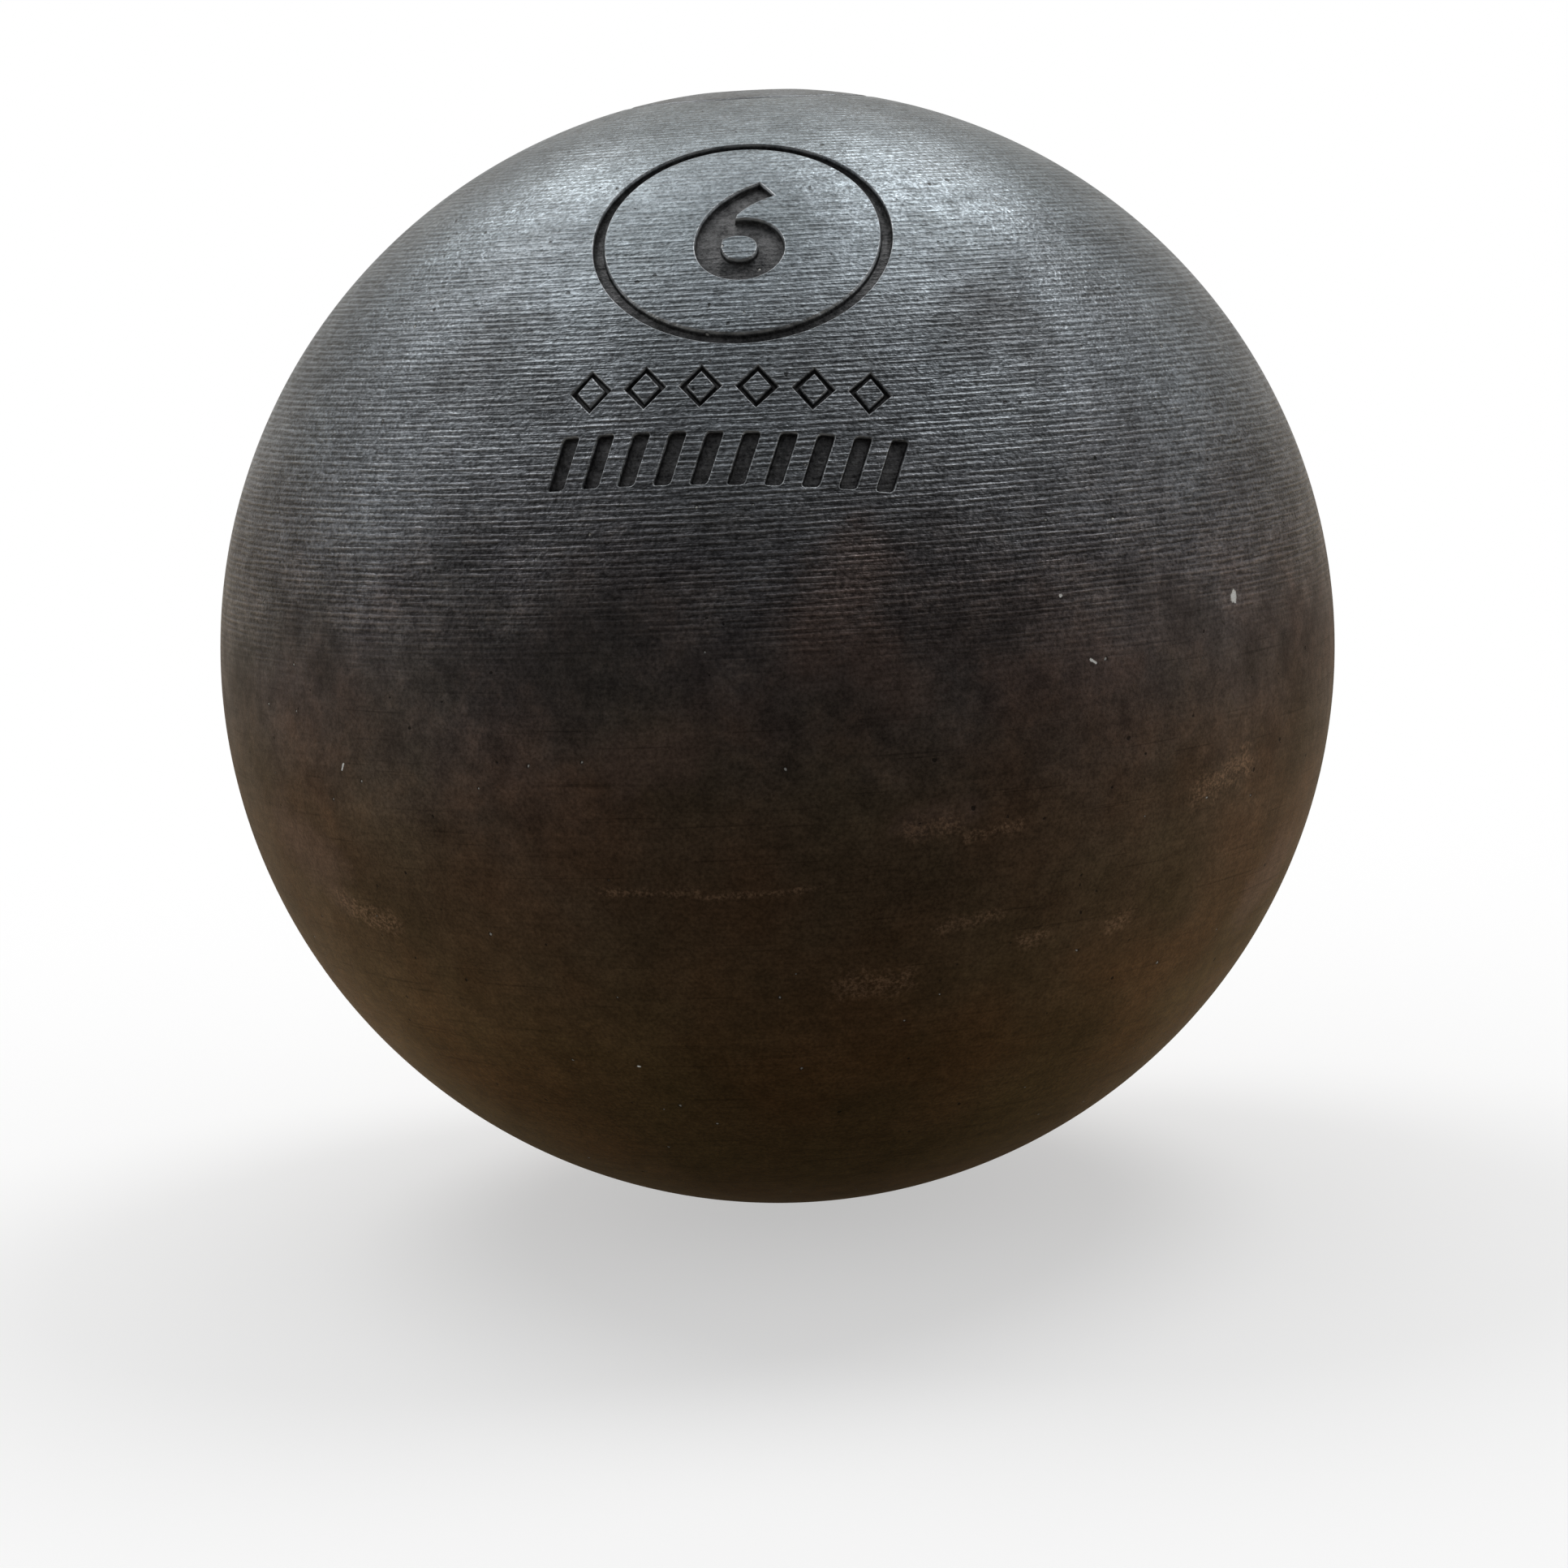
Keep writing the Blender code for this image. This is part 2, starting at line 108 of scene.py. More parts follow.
# The engraved marks
MARK_LATITUDE = math.radians(48.7)
MARK_LONGITUDE = math.radians(-2.0)
MARK_LEAN = math.radians(4.5)
RING_RADIUS = 14.25 * MM
RING_LINE = 1.2 * MM
FIGURE_HEIGHT = 14.0 * MM
FIGURE_WEIGHT = 0.3 * MM
ROW_GAP = 2.3 * MM
LOZENGE_COUNT = 6
LOZENGE_WIDTH = 4.2 * MM
LOZENGE_HEIGHT = 4.6 * MM
LOZENGE_LINE = 0.9 * MM
LOZENGE_SPACING = 5.2 * MM
BAR_COUNT = 10
BAR_WIDTH = 1.7 * MM
BAR_HEIGHT = 5.2 * MM
BAR_SLANT = math.radians(15)
BAR_SPACING = 3.4 * MM
MARK_CORNER = 0.36 * MM
MARK_CLEAR = 1.5 * MM
RIM_SPREAD = 0.12 * MM
# A thickened outline's point goes where it lies nearer to the outline than this share of the width
FOLD_SHARE = 0.97
# Each step of a mark's wall, from the ball's surface to its floor: how far in, how far down
MARK_WALL = (
    (0.05 * MM, 0.012 * MM),
    (0.05 * MM, 0.018 * MM),
    (0.05 * MM, 0.05 * MM),
    (0.04 * MM, 0.09 * MM),
    (0.04 * MM, 0.40 * MM),
    (0.03 * MM, 0.09 * MM),
    (0.03 * MM, 0.04 * MM),
)

# The wad, the discs and the slug: rounded edge, and their lumps' depth and width
WAD_EDGE = 0.9 * MM
WAD_LUMPS = (0.12 * MM, 0.8 * MM)
LEAD_EDGE = 0.4 * MM
DISC_LUMPS = (0.05 * MM, 3.0 * MM)
SLUG_LUMPS = (0.06 * MM, 2.5 * MM)
SLUG_SHRINK = 0.6 * MM

# Mesh counts
BALL_SEGMENTS = 192
BALL_RINGS = 144
RING_SEGMENTS = 144
FIGURE_RESOLUTION = 10
SIDE_CUTS = 5
CORNER_STEPS = 3
EDGE_STEPS = 4
CROWN_STEPS = 16
PLUG_SEGMENTS = 96
SEAL_SEGMENTS = 128
SEAL_POINTS = 32
FILL_SEGMENTS = 96
WAD_RINGS = 24
WAD_EDGE_STEPS = 5
LEAD_RINGS = 14
SLUG_SIDE_RINGS = 8
SLUG_POINT_RINGS = 6
FLOOR_SEGMENTS = 64
MERGE_DISTANCE = 0.002 * MM
TEXT_MERGE_DISTANCE = 0.01 * MM
SMOOTH_ANGLE = math.radians(50)
PLUG_SMOOTH_ANGLE = math.radians(28)
# Degrees between the mouth's rounded edge and the ball's first ring
RIM_STEP = 0.2
# A corner this near the ball's surface, on a face whose slope to it has at least this cosine, is round
SURFACE_SKIN = 0.02 * MM
SURFACE_COSINE = 0.5

# The photograph's camera, in ball radii and degrees, and its frame of 1932 pixels
PHOTO_SIZE = 1932
CAMERA_DISTANCE = 6.478 * BALL_RADIUS
CAMERA_ELEVATION = math.radians(6.06)
CAMERA_ROLL = math.radians(3.0)
BALL_PIXEL_RADIUS = 686.6
BALL_PIXEL_RIGHT = -8.0
BALL_PIXEL_UP = 170.3
SENSOR = 36.0


# Meshes


def in_scene(name, data):
    item = bpy.data.objects.new(name, data)
    bpy.context.scene.collection.objects.link(item)
    return item


def piece_from(name, bm, material):
    mesh = bpy.data.meshes.new(name)
    bm.to_mesh(mesh)
    bm.free()
    piece = in_scene(name, mesh)
    mesh.materials.append(material)
    return piece


def shade(piece, angle=SMOOTH_ANGLE):
    piece.data.shade_smooth()
    piece.data.set_sharp_from_angle(angle=angle)
    return piece


def arc(centre, radius, start, end, steps):
    """Points of a (radius, height) profile round a centre, from one angle to another, in degrees."""
    points = []
    for index in range(steps + 1):
        angle = math.radians(start + (end - start) * index / steps)
        points.append((centre[0] + radius * math.cos(angle), centre[1] + radius * math.sin(angle)))
    return points


def turned(profile, segments, closed=False):
    """A turned shape, from (radius, height) points: a half section that ends on the axis, or a closed one."""
    bm = bmesh.new()
    points = [bm.verts.new((radius, 0.0, height)) for radius, height in profile]
    lines = [bm.edges.new(pair) for pair in zip(points, points[1:])]
    if closed:
        lines.append(bm.edges.new((points[-1], points[0])))
    bmesh.ops.spin(
        bm,
        geom=points + lines,
        cent=(0.0, 0.0, 0.0),
        axis=(0.0, 0.0, 1.0),
        angle=math.tau,
        steps=segments,
        use_merge=True,
    )
    bmesh.ops.remove_doubles(bm, verts=bm.verts, dist=MERGE_DISTANCE)
    bmesh.ops.recalc_face_normals(bm, faces=bm.faces)
    return bm


def helix(section, start_z, end_z, segments):
    """A closed section of (radius, height) points, swept down a right-hand helix of the thread's pitch."""
    steps = math.ceil((start_z - end_z) / THREAD_PITCH * segments)
    bm = bmesh.new()
    corners = [bm.verts.new((radius, 0.0, start_z + height)) for radius, height in section]
    bm.faces.new(corners)
    bmesh.ops.spin(
        bm,
        geom=bm.verts[:] + bm.edges[:] + bm.faces[:],
        cent=(0.0, 0.0, 0.0),
        axis=(0.0, 0.0, 1.0),
        dvec=(0.0, 0.0, -THREAD_PITCH / segments),
        angle=-math.tau * steps / segments,
        steps=steps,
        use_merge=False,
    )
    phase = math.pi / segments
    bmesh.ops.rotate(bm, cent=(0.0, 0.0, 0.0), matrix=Matrix.Rotation(phase, 3, "Z"), verts=bm.verts)
    bmesh.ops.translate(bm, vec=(0.0, 0.0, THREAD_PITCH * phase / math.tau), verts=bm.verts)
    bmesh.ops.recalc_face_normals(bm, faces=bm.faces)
    return bm


def cut_away(piece, *cutters):
    """Cuts each bmesh out of the piece, one after the other, and applies the result."""
    tools = []
    for bm in cutters:
        tool = piece_from("cutter", bm, piece.data.materials[0])
        boolean = piece.modifiers.new("cut", "BOOLEAN")
        boolean.operation = "DIFFERENCE"
        boolean.solver = "EXACT"
        boolean.object = tool
        tools.append(tool)
    bpy.context.view_layer.update()
    graph = bpy.context.evaluated_depsgraph_get()
    mesh = bpy.data.meshes.new_from_object(piece.evaluated_get(graph))
    piece.modifiers.clear()
    bm = bmesh.new()
    bm.from_mesh(mesh)
    bmesh.ops.remove_doubles(bm, verts=bm.verts, dist=MERGE_DISTANCE)
    bmesh.ops.triangulate(bm, faces=[face for face in bm.faces if len(face.verts) > 4])
    bmesh.ops.dissolve_degenerate(bm, edges=bm.edges, dist=MERGE_DISTANCE)
    bm.to_mesh(piece.data)
    bm.free()
    bpy.data.meshes.remove(mesh)
    for tool in tools:
        bpy.data.objects.remove(tool)
    return piece


def ball_height(radius):
    return math.sqrt(BALL_RADIUS**2 - radius**2)


def gap_to(point, start, end):
    """How far a point is from the line between two others."""
    share = intersect_point_line(point, start, end)[1]
    return (point - start.lerp(end, min(max(share, 0.0), 1.0))).length


# The engraving


def mark_place(right, up):
    """Stands a mark on the ball, its +Z facing out, at arcs right and up from the ring's centre."""
    return (
        Matrix.Rotation(MARK_LONGITUDE, 4, "Z")
        @ Matrix.Rotation(math.radians(90) - MARK_LATITUDE, 4, "X")
        @ Matrix.Rotation(-MARK_LEAN, 4, "Z")
        @ Matrix.Rotation(-up / BALL_RADIUS, 4, "X")
        @ Matrix.Rotation(right / BALL_RADIUS, 4, "Y")
        @ Matrix.Translation((0.0, 0.0, BALL_RADIUS))
    )


def engrave(bm):
    """Turns a flat mark into its cutter: open above the ball, then down its wall to a flat floor."""
    floor = bm.faces[:]
    bmesh.ops.recalc_face_normals(bm, faces=floor)
    raised = bmesh.ops.extrude_face_region(bm, geom=floor)["geom"]
    lid = [part for part in raised if isinstance(part, bmesh.types.BMVert)]
    bmesh.ops.translate(bm, vec=(0.0, 0.0, MARK_CLEAR), verts=lid)
    for inward, down in MARK_WALL:
        bmesh.ops.inset_region(bm, faces=floor, thickness=inward, use_even_offset=True)
        points = list({vertex for face in floor for vertex in face.verts})
        bmesh.ops.translate(bm, vec=(0.0, 0.0, -down), verts=points)
    for vertex in bm.verts:
        across = vertex.co.x**2 + vertex.co.y**2
        vertex.co.z = math.sqrt((BALL_RADIUS + vertex.co.z) ** 2 - across) - BALL_RADIUS
    bmesh.ops.recalc_face_normals(bm, faces=bm.faces)
    if bm.calc_volume(signed=True) < 0:
        bmesh.ops.reverse_faces(bm, faces=bm.faces)
    return bm


def ring_mark():
    bm = bmesh.new()
    for radius in (RING_RADIUS + RIM_SPREAD, RING_RADIUS - RING_LINE - RIM_SPREAD):
        bmesh.ops.create_circle(bm, segments=RING_SEGMENTS, radius=radius)
    bmesh.ops.bridge_loops(bm, edges=bm.edges)
    return engrave(bm)


def lozenge_mark():
    bm = bmesh.new()
    for spread in (RIM_SPREAD, -LOZENGE_LINE - RIM_SPREAD):
        circle = bmesh.ops.create_circle(bm, segments=4, radius=1.0)
        halves = (LOZENGE_WIDTH / 2 + spread, LOZENGE_HEIGHT / 2 + spread, 1.0)
        bmesh.ops.scale(bm, vec=halves, verts=circle["verts"])
    bmesh.ops.subdivide_edges(bm, edges=bm.edges, cuts=SIDE_CUTS)
    bmesh.ops.bridge_loops(bm, edges=bm.edges)
    return engrave(bm)


def bar_mark():
    """A bar that slants to the right as it rises, with the round corners that a cutter leaves."""
    bm = bmesh.new()
    corner = MARK_CORNER + RIM_SPREAD
    half_width = BAR_WIDTH / 2 + RIM_SPREAD - corner
    half_height = BAR_HEIGHT / 2 + RIM_SPREAD - corner
    outline = []
    for side, rise, start in ((1, 1, 0), (-1, 1, 90), (-1, -1, 180), (1, -1, 270)):
        middle = (side * half_width, rise * half_height)
        outline += arc(middle, corner, start, start + 90, CORNER_STEPS)
    points = [bm.verts.new((x + y * math.tan(BAR_SLANT), y, 0.0)) for x, y in outline]
    face = bm.faces.new(points)
    long_sides = [edge for edge in face.edges if edge.calc_length() > BAR_HEIGHT / 2]
    bmesh.ops.subdivide_edges(bm, edges=long_sides, cuts=SIDE_CUTS)
    return engrave(bm)


def outlines(flat):
    """The closed outlines of a flat mesh, each with the mesh on its left."""
    bm = bmesh.new()
    bm.from_mesh(flat)
    bmesh.ops.remove_doubles(bm, verts=bm.verts, dist=TEXT_MERGE_DISTANCE)
    ahead = {}
    for edge in bm.edges:
        if edge.is_boundary:
            corner = edge.link_loops[0]
            ahead[corner.vert] = corner.link_loop_next.vert
    found = []
    while ahead:
        vertex, following = ahead.popitem()
        outline = [vertex.co.xy]
        while following in ahead:
            outline.append(following.co.xy)
            following = ahead.pop(following)
        found.append(outline)
    bm.free()
    return found


def thickened(outline, width):
    """An outline moved out to its right, without the folds that this makes in a notch."""
    turned_round = outline[-1:] + outline[:-1]
    moved = []
    for before, point, after in zip(turned_round, outline, outline[1:] + outline[:1]):
        coming, going = (point - before).normalized(), (after - point).normalized()
        along = (coming + going).normalized()
        moved.append(point + Vector((along.y, -along.x)) * width / along.dot(coming))
    kept = []
    for point in moved:
        gaps = [gap_to(point, start, end) for start, end in zip(turned_round, outline)]
        if min(gaps) > FOLD_SHARE * width:
            kept.append(point)
    return kept


def figure_mark():
    """The weight class in kilograms, as a plain figure whose middle is the ring's centre."""
    curve = bpy.data.curves.new("figure", "FONT")
    curve.body = "6"
    curve.size = FIGURE_HEIGHT
    curve.resolution_u = FIGURE_RESOLUTION
    text = bpy.data.objects.new("figure", curve)
    flat = bpy.data.meshes.new_from_object(text)
    bpy.data.objects.remove(text)
    bm = bmesh.new()
    for outline in outlines(flat):
        thick = thickened(outline, FIGURE_WEIGHT + RIM_SPREAD)
        points = [bm.verts.new((*point, 0.0)) for point in thick]
        for pair in zip(points, points[1:] + points[:1]):
            bm.edges.new(pair)
    bpy.data.meshes.remove(flat)
    across = [vertex.co.x for vertex in bm.verts]
    upward = [vertex.co.y for vertex in bm.verts]
    middle = Vector((min(across) + max(across), min(upward) + max(upward), 0.0)) / 2
    bmesh.ops.translate(bm, vec=-middle, verts=bm.verts)
    scale = (FIGURE_HEIGHT + 2 * RIM_SPREAD) / (max(upward) - min(upward))
    bmesh.ops.scale(bm, vec=(scale, scale, 1.0), verts=bm.verts)
    bmesh.ops.triangle_fill(bm, edges=bm.edges[:], use_beauty=True)
    return engrave(bm)


def engraving():
    """Every mark in one cutter: a ring round the figure, over a fine row and a bold row."""
    fine_drop = -(RING_RADIUS + ROW_GAP + LOZENGE_HEIGHT / 2)
    bold_drop = fine_drop - LOZENGE_HEIGHT / 2 - ROW_GAP - BAR_HEIGHT / 2
    marks = [(ring_mark(), 0.0, 0.0), (figure_mark(), 0.0, 0.0)]
    for index in range(LOZENGE_COUNT):
        marks.append((lozenge_mark(), (index - (LOZENGE_COUNT - 1) / 2) * LOZENGE_SPACING, fine_drop))
    for index in range(BAR_COUNT):
        marks.append((bar_mark(), (index - (BAR_COUNT - 1) / 2) * BAR_SPACING, bold_drop))
    joined = bmesh.new()
    for bm, right, up in marks:
        bmesh.ops.transform(bm, matrix=mark_place(right, up), verts=bm.verts)
        mesh = bpy.data.meshes.new("mark")
        bm.to_mesh(mesh)
        bm.free()
        joined.from_mesh(mesh)
        bpy.data.meshes.remove(mesh)
    return joined


# Pieces


def round_normals(piece):
    """Gives the corners on the ball's surface the sphere's own normals, so that cuts leave no dents."""
    mesh = piece.data
    normals = [Vector(corner.vector) for corner in mesh.corner_normals]
    for polygon in mesh.polygons:
        for loop in polygon.loop_indices:
            point = mesh.vertices[mesh.loops[loop].vertex_index].co
            outward = point.normalized()
            near = abs(point.length - BALL_RADIUS) < SURFACE_SKIN
            if near and polygon.normal.dot(outward) > SURFACE_COSINE:
                normals[loop] = outward
    mesh.normals_split_custom_set(normals)


def iron_ball(material):
    """The ball, its bore turned with it, then tapped and engraved."""
    rim_radius = MOUTH_RADIUS + EDGE_CHAMFER
    rim_angle = math.degrees(math.acos(rim_radius / BALL_RADIUS))
    profile = [
        (0.0, BORE_TIP_Z),
        (BORE_RADIUS, BORE_TIP_Z + BORE_RADIUS / POINT_SLOPE),
        (BORE_RADIUS, POCKET_Z),
        (POCKET_RADIUS, POCKET_Z),
        (POCKET_RADIUS, SEAT_Z),
        (MOUTH_RADIUS, SEAT_Z),
    ]
    edge_centre = (rim_radius, ball_height(rim_radius) - EDGE_CHAMFER)
    profile += arc(edge_centre, EDGE_CHAMFER, 180, 100, EDGE_STEPS)
    profile += arc((0.0, 0.0), BALL_RADIUS, rim_angle - RIM_STEP, -90, BALL_RINGS)
    ball = piece_from("turned_ball", turned(profile, BALL_SEGMENTS), material)
    outer = THREAD_RADIUS + THREAD_CLEARANCE
    inner = outer - (WIDEST_CUT - CREST_HALF_WIDTH) / FLANK_SLOPE
    section = [(inner, WIDEST_CUT), (outer, CREST_HALF_WIDTH)]
    section += [(outer, -CREST_HALF_WIDTH), (inner, -WIDEST_CUT)]
    tap = helix(section, THREAD_TOP_Z + THREAD_PITCH, PLUG_END_Z - THREAD_PITCH, PLUG_SEGMENTS)
    cut_away(ball, tap, engraving())
    shade(ball)
    round_normals(ball)
    for name, marks in BROAD_MARKS.items():
        broad_mark_gaps(ball, name, marks)
    return ball


def cone(bottom, depth, low_radius, high_radius, sides):
    bm = bmesh.new()
    bmesh.ops.create_cone(
        bm,
        cap_ends=True,
        segments=sides,
        radius1=low_radius,
        radius2=high_radius,
        depth=depth,
        matrix=Matrix.Translation((0.0, 0.0, bottom + depth / 2)),
    )
    return bm


def key_socket():
    """The hexagonal hole, its flats to the right and left, its corners eased as a broach leaves them."""
    radius = KEY_CORNER_RADIUS
    bm = cone(BALL_RADIUS - KEY_DEPTH, KEY_DEPTH + MARK_CLEAR, radius, radius, 6)
    upright = [edge for edge in bm.edges if abs(edge.verts[0].co.z - edge.verts[1].co.z) > KEY_DEPTH]
    bmesh.ops.bevel(
        bm,
        geom=upright,
        offset=KEY_CORNER,
        offset_type="OFFSET",
        segments=CORNER_STEPS,
        profile=0.5,
        affect="EDGES",
        material=-1,
    )
    return bm


def socket_countersink():
    depth = 2 * KEY_CHAMFER + MARK_CLEAR
    bottom = ball_height(KEY_CORNER_RADIUS) - KEY_CHAMFER
    radius = KEY_CORNER_RADIUS - KEY_CHAMFER / 2
    return cone(bottom, depth, radius, radius + depth, PLUG_SEGMENTS)


def screw_plug(material):
    """The plug, its crown on the ball's own curve, with rounded edges and a cut thread."""
    crown_radius = COLLAR_RADIUS - EDGE_CHAMFER
    crown_angle = math.degrees(math.acos(crown_radius / BALL_RADIUS))
    edge_centre = (crown_radius, ball_height(crown_radius) - EDGE_CHAMFER)
    profile = arc((0.0, 0.0), BALL_RADIUS, 90, crown_angle, CROWN_STEPS)
    profile += arc(edge_centre, EDGE_CHAMFER, 78, 0, EDGE_STEPS)
    under, above = COLLAR_Z - UNDER_EDGE, COLLAR_Z + UNDER_EDGE
    profile += arc((COLLAR_RADIUS - UNDER_EDGE, above), UNDER_EDGE, 0, -90, CORNER_STEPS)
    profile += arc((NECK_RADIUS + UNDER_EDGE, under), UNDER_EDGE, 90, 180, CORNER_STEPS)
    profile += [
        (NECK_RADIUS, THREAD_TOP_Z),
        (THREAD_RADIUS, THREAD_TOP_Z - (THREAD_RADIUS - NECK_RADIUS)),
        (THREAD_RADIUS, PLUG_END_Z + TIP_CHAMFER),
        (THREAD_RADIUS - TIP_CHAMFER, PLUG_END_Z),
        (0.0, PLUG_END_Z),
    ]
    plug = piece_from("plug", turned(profile, PLUG_SEGMENTS), material)
    root = THREAD_RADIUS - THREAD_DEPTH
    crest = THREAD_PITCH / 2 - CREST_HALF_WIDTH
    outer = THREAD_RADIUS + (WIDEST_CUT - crest) / FLANK_SLOPE
    narrow = crest - THREAD_DEPTH * FLANK_SLOPE
    section = [(root, narrow), (outer, WIDEST_CUT), (outer, -WIDEST_CUT), (root, -narrow)]
    groove = helix(section, THREAD_TOP_Z + THREAD_PITCH / 2, PLUG_END_Z - THREAD_PITCH, PLUG_SEGMENTS)
    cut_away(plug, groove, key_socket(), socket_countersink())
    shade(plug, PLUG_SMOOTH_ANGLE)
    round_normals(plug)
    return plug


def seal_ring(material):
    """The moulded ring, with the thin flash line that its two mould halves leave."""
    section = []
    for index in range(SEAL_POINTS):
        angle = math.tau * index / SEAL_POINTS
        reach = SEAL_SECTION / 2 - (0.0 if index in (0, SEAL_POINTS // 2) else SEAL_FLASH)
        section.append((SEAL_RADIUS + reach * math.cos(angle), SEAL_Z + reach * math.sin(angle)))
    return shade(piece_from("seal", turned(section, SEAL_SEGMENTS, closed=True), material))


def roughen(bm, height, grain, low, high):
    """Moves a piece's points in and out by up to a height, in lumps of a grain, inside its CAD box."""
    for vertex in bm.verts:
        lump = noise.noise(vertex.co / grain)
        reach = math.hypot(vertex.co.x, vertex.co.y)
        if reach > MERGE_DISTANCE:
            inner = min(reach + lump * height, high.x)
            vertex.co.x *= inner / reach
            vertex.co.y *= inner / reach
        vertex.co.z = min(max(vertex.co.z + lump * height, low.z), high.z)


def filled_profile(radius, top, bottom, edge, rings, steps=CORNER_STEPS):
    """A disc's half section, with rings of points across its faces and rounded edges."""
    flat = [radius * index / rings for index in range(rings)]
    profile = [(across * (radius - edge) / radius, top) for across in flat]
    profile += arc((radius - edge, top - edge), edge, 90, 0, steps)
    profile += arc((radius - edge, bottom + edge), edge, 0, -90, steps)
    profile += [(across * (radius - edge) / radius, bottom) for across in reversed(flat)]
    return profile


def packing_wad(material):
    """Pressed felt, cut with a punch."""
    top, bottom = wad_high.z, wad_low.z
    profile = filled_profile(FILL_RADIUS, top, bottom, WAD_EDGE, WAD_RINGS, WAD_EDGE_STEPS)
    bm = turned(profile, FILL_SEGMENTS)
    roughen(bm, *WAD_LUMPS, wad_low, wad_high)
    wad = shade(piece_from("felt_wad", bm, material))
    return wad


def trim_disc(node, material):
    """A lead disc, stamped from sheet, so a little uneven and rolled over at its rim."""
    low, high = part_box(node)
    profile = filled_profile(FILL_RADIUS, high.z, low.z, LEAD_EDGE, LEAD_RINGS)
    bm = turned(profile, FILL_SEGMENTS)
    roughen(bm, *DISC_LUMPS, low, high)
    return shade(piece_from("lead_" + node, bm, material))


def lead_slug(material):
    """The cast slug, drawn down a little in the middle of its top where the lead shrank."""
    top, tip = slug_high.z, slug_low.z
    flat = FILL_RADIUS - LEAD_EDGE
    profile = []
    for index in range(LEAD_RINGS + 1):
        across = flat * index / LEAD_RINGS
        sunk = SLUG_SHRINK * (1 + math.cos(math.pi * across / flat)) / 2
        profile.append((across, top - sunk))
    profile += arc((flat, top - LEAD_EDGE), LEAD_EDGE, 80, 0, CORNER_STEPS)
    shoulder = tip + FILL_RADIUS / POINT_SLOPE
    for index in range(1, SLUG_SIDE_RINGS + 1):
        profile.append((FILL_RADIUS, top + (shoulder - top) * index / SLUG_SIDE_RINGS))
    for index in range(1, SLUG_POINT_RINGS + 1):
        share = index / SLUG_POINT_RINGS
        profile.append((FILL_RADIUS * (1 - share), shoulder + (tip - shoulder) * share))
    bm = turned(profile, FILL_SEGMENTS)
    roughen(bm, *SLUG_LUMPS, slug_low, slug_high)
    return shade(piece_from("cast_slug", bm, material))


# Finishes


def feed(node, inputs):
    """Gives inputs of a node a value each, or a link from another node's output."""
    for key, value in inputs.items():
        if isinstance(value, bpy.types.NodeSocket):
            node.id_data.links.new(value, node.inputs[key])
        else:
            node.inputs[key].default_value = value


def put(kind, inputs, **settings):
    """Adds a node where its inputs come from. Its settings are made first, as some change its sockets."""
    tree = next(value.id_data for value in inputs.values() if isinstance(value, bpy.types.NodeSocket))
    node = tree.nodes.new("ShaderNode" + kind)
    for name, value in settings.items():
        setattr(node, name, value)
    feed(node, inputs)
    return node


def calc(operation, first, *others, clamp=False):
    """An operation on a value alone, or on it and each of the others in turn."""
    if not others:
        return put("Math", {0: first}, operation=operation).outputs[0]
    for other in others:
        node = put("Math", {0: first, 1: other}, operation=operation, use_clamp=clamp)
        first = node.outputs[0]
    return first


def times(*values):
    return calc("MULTIPLY", *values)


def plus(*values, clamp=False):
    return calc("ADD", *values, clamp=clamp)


def minus(*values):
    return calc("SUBTRACT", *values)


def vector(operation, *inputs):
    """A vector operation. A length or a dot product comes out as a value."""
    node = put("VectorMath", dict(enumerate(inputs)), operation=operation)
    return node.outputs["Value" if operation in ("LENGTH", "DOT_PRODUCT") else "Vector"]


def scaled(whole, factor):
    return put("VectorMath", {0: whole, "Scale": factor}, operation="SCALE").outputs[0]


def ramp(value, low, high, to_low=0.0, to_high=1.0, kind="SMOOTHSTEP"):
    """A step, soft unless it is LINEAR, from to_low to to_high as the value goes from low to high."""
    inputs = {"Value": value, "From Min": low, "From Max": high, "To Min": to_low, "To Max": to_high}
    return put("MapRange", inputs, interpolation_type=kind).outputs["Result"]


def lumps(place, scale, detail=2.0, roughness=0.5, distortion=0.0):
    """A noise from 0 to 1, with its scale per metre."""
    inputs = {"Vector": place, "Scale": scale, "Detail": detail}
    inputs |= {"Roughness": roughness, "Distortion": distortion}
    return put("TexNoise", inputs).outputs[0]


def centred(*noise_settings):
    """The same noise about 0."""
    return minus(lumps(*noise_settings), 0.5)


def blend(factor, first, second, how="MIX"):
    inputs = {"Factor": factor, 6: first, 7: second}
    return put("Mix", inputs, data_type="RGBA", blend_type=how).outputs[2]


def layer(under, mask, strength, colour):
    """Lays a colour over what is under it, where a mask shows it."""
    return blend(times(mask, strength), under, colour)


def tones(value, stops):
    """A colour for each value, from (position, colour) stops, with the positions from 0 to 1."""
    node = put("ValToRGB", {"Fac": value})
    elements = node.color_ramp.elements
    while len(elements) < len(stops):
        elements.new(1.0)
    for element, (position, colour) in zip(elements, stops):
        element.position = position
        element.color = (*colour, 1.0)
    return node.outputs[0]


def group(name, vectors, values, made):
    """A new node group, with the names of its vectors and values going in and its values coming out."""
    tree = bpy.data.node_groups.new(name, "ShaderNodeTree")
    rows = (("INPUT", "Vector", vectors), ("INPUT", "Float", values), ("OUTPUT", "Float", made))
    for way, kind, names in rows:
        for socket in names.split():
            tree.interface.new_socket(socket, in_out=way, socket_type="NodeSocket" + kind)
    return tree, tree.nodes.new("NodeGroupInput").outputs, tree.nodes.new("NodeGroupOutput")


def use(shared, inputs):
    """Places a node group, and returns its outputs."""
    return put("Group", inputs, node_tree=shared).outputs


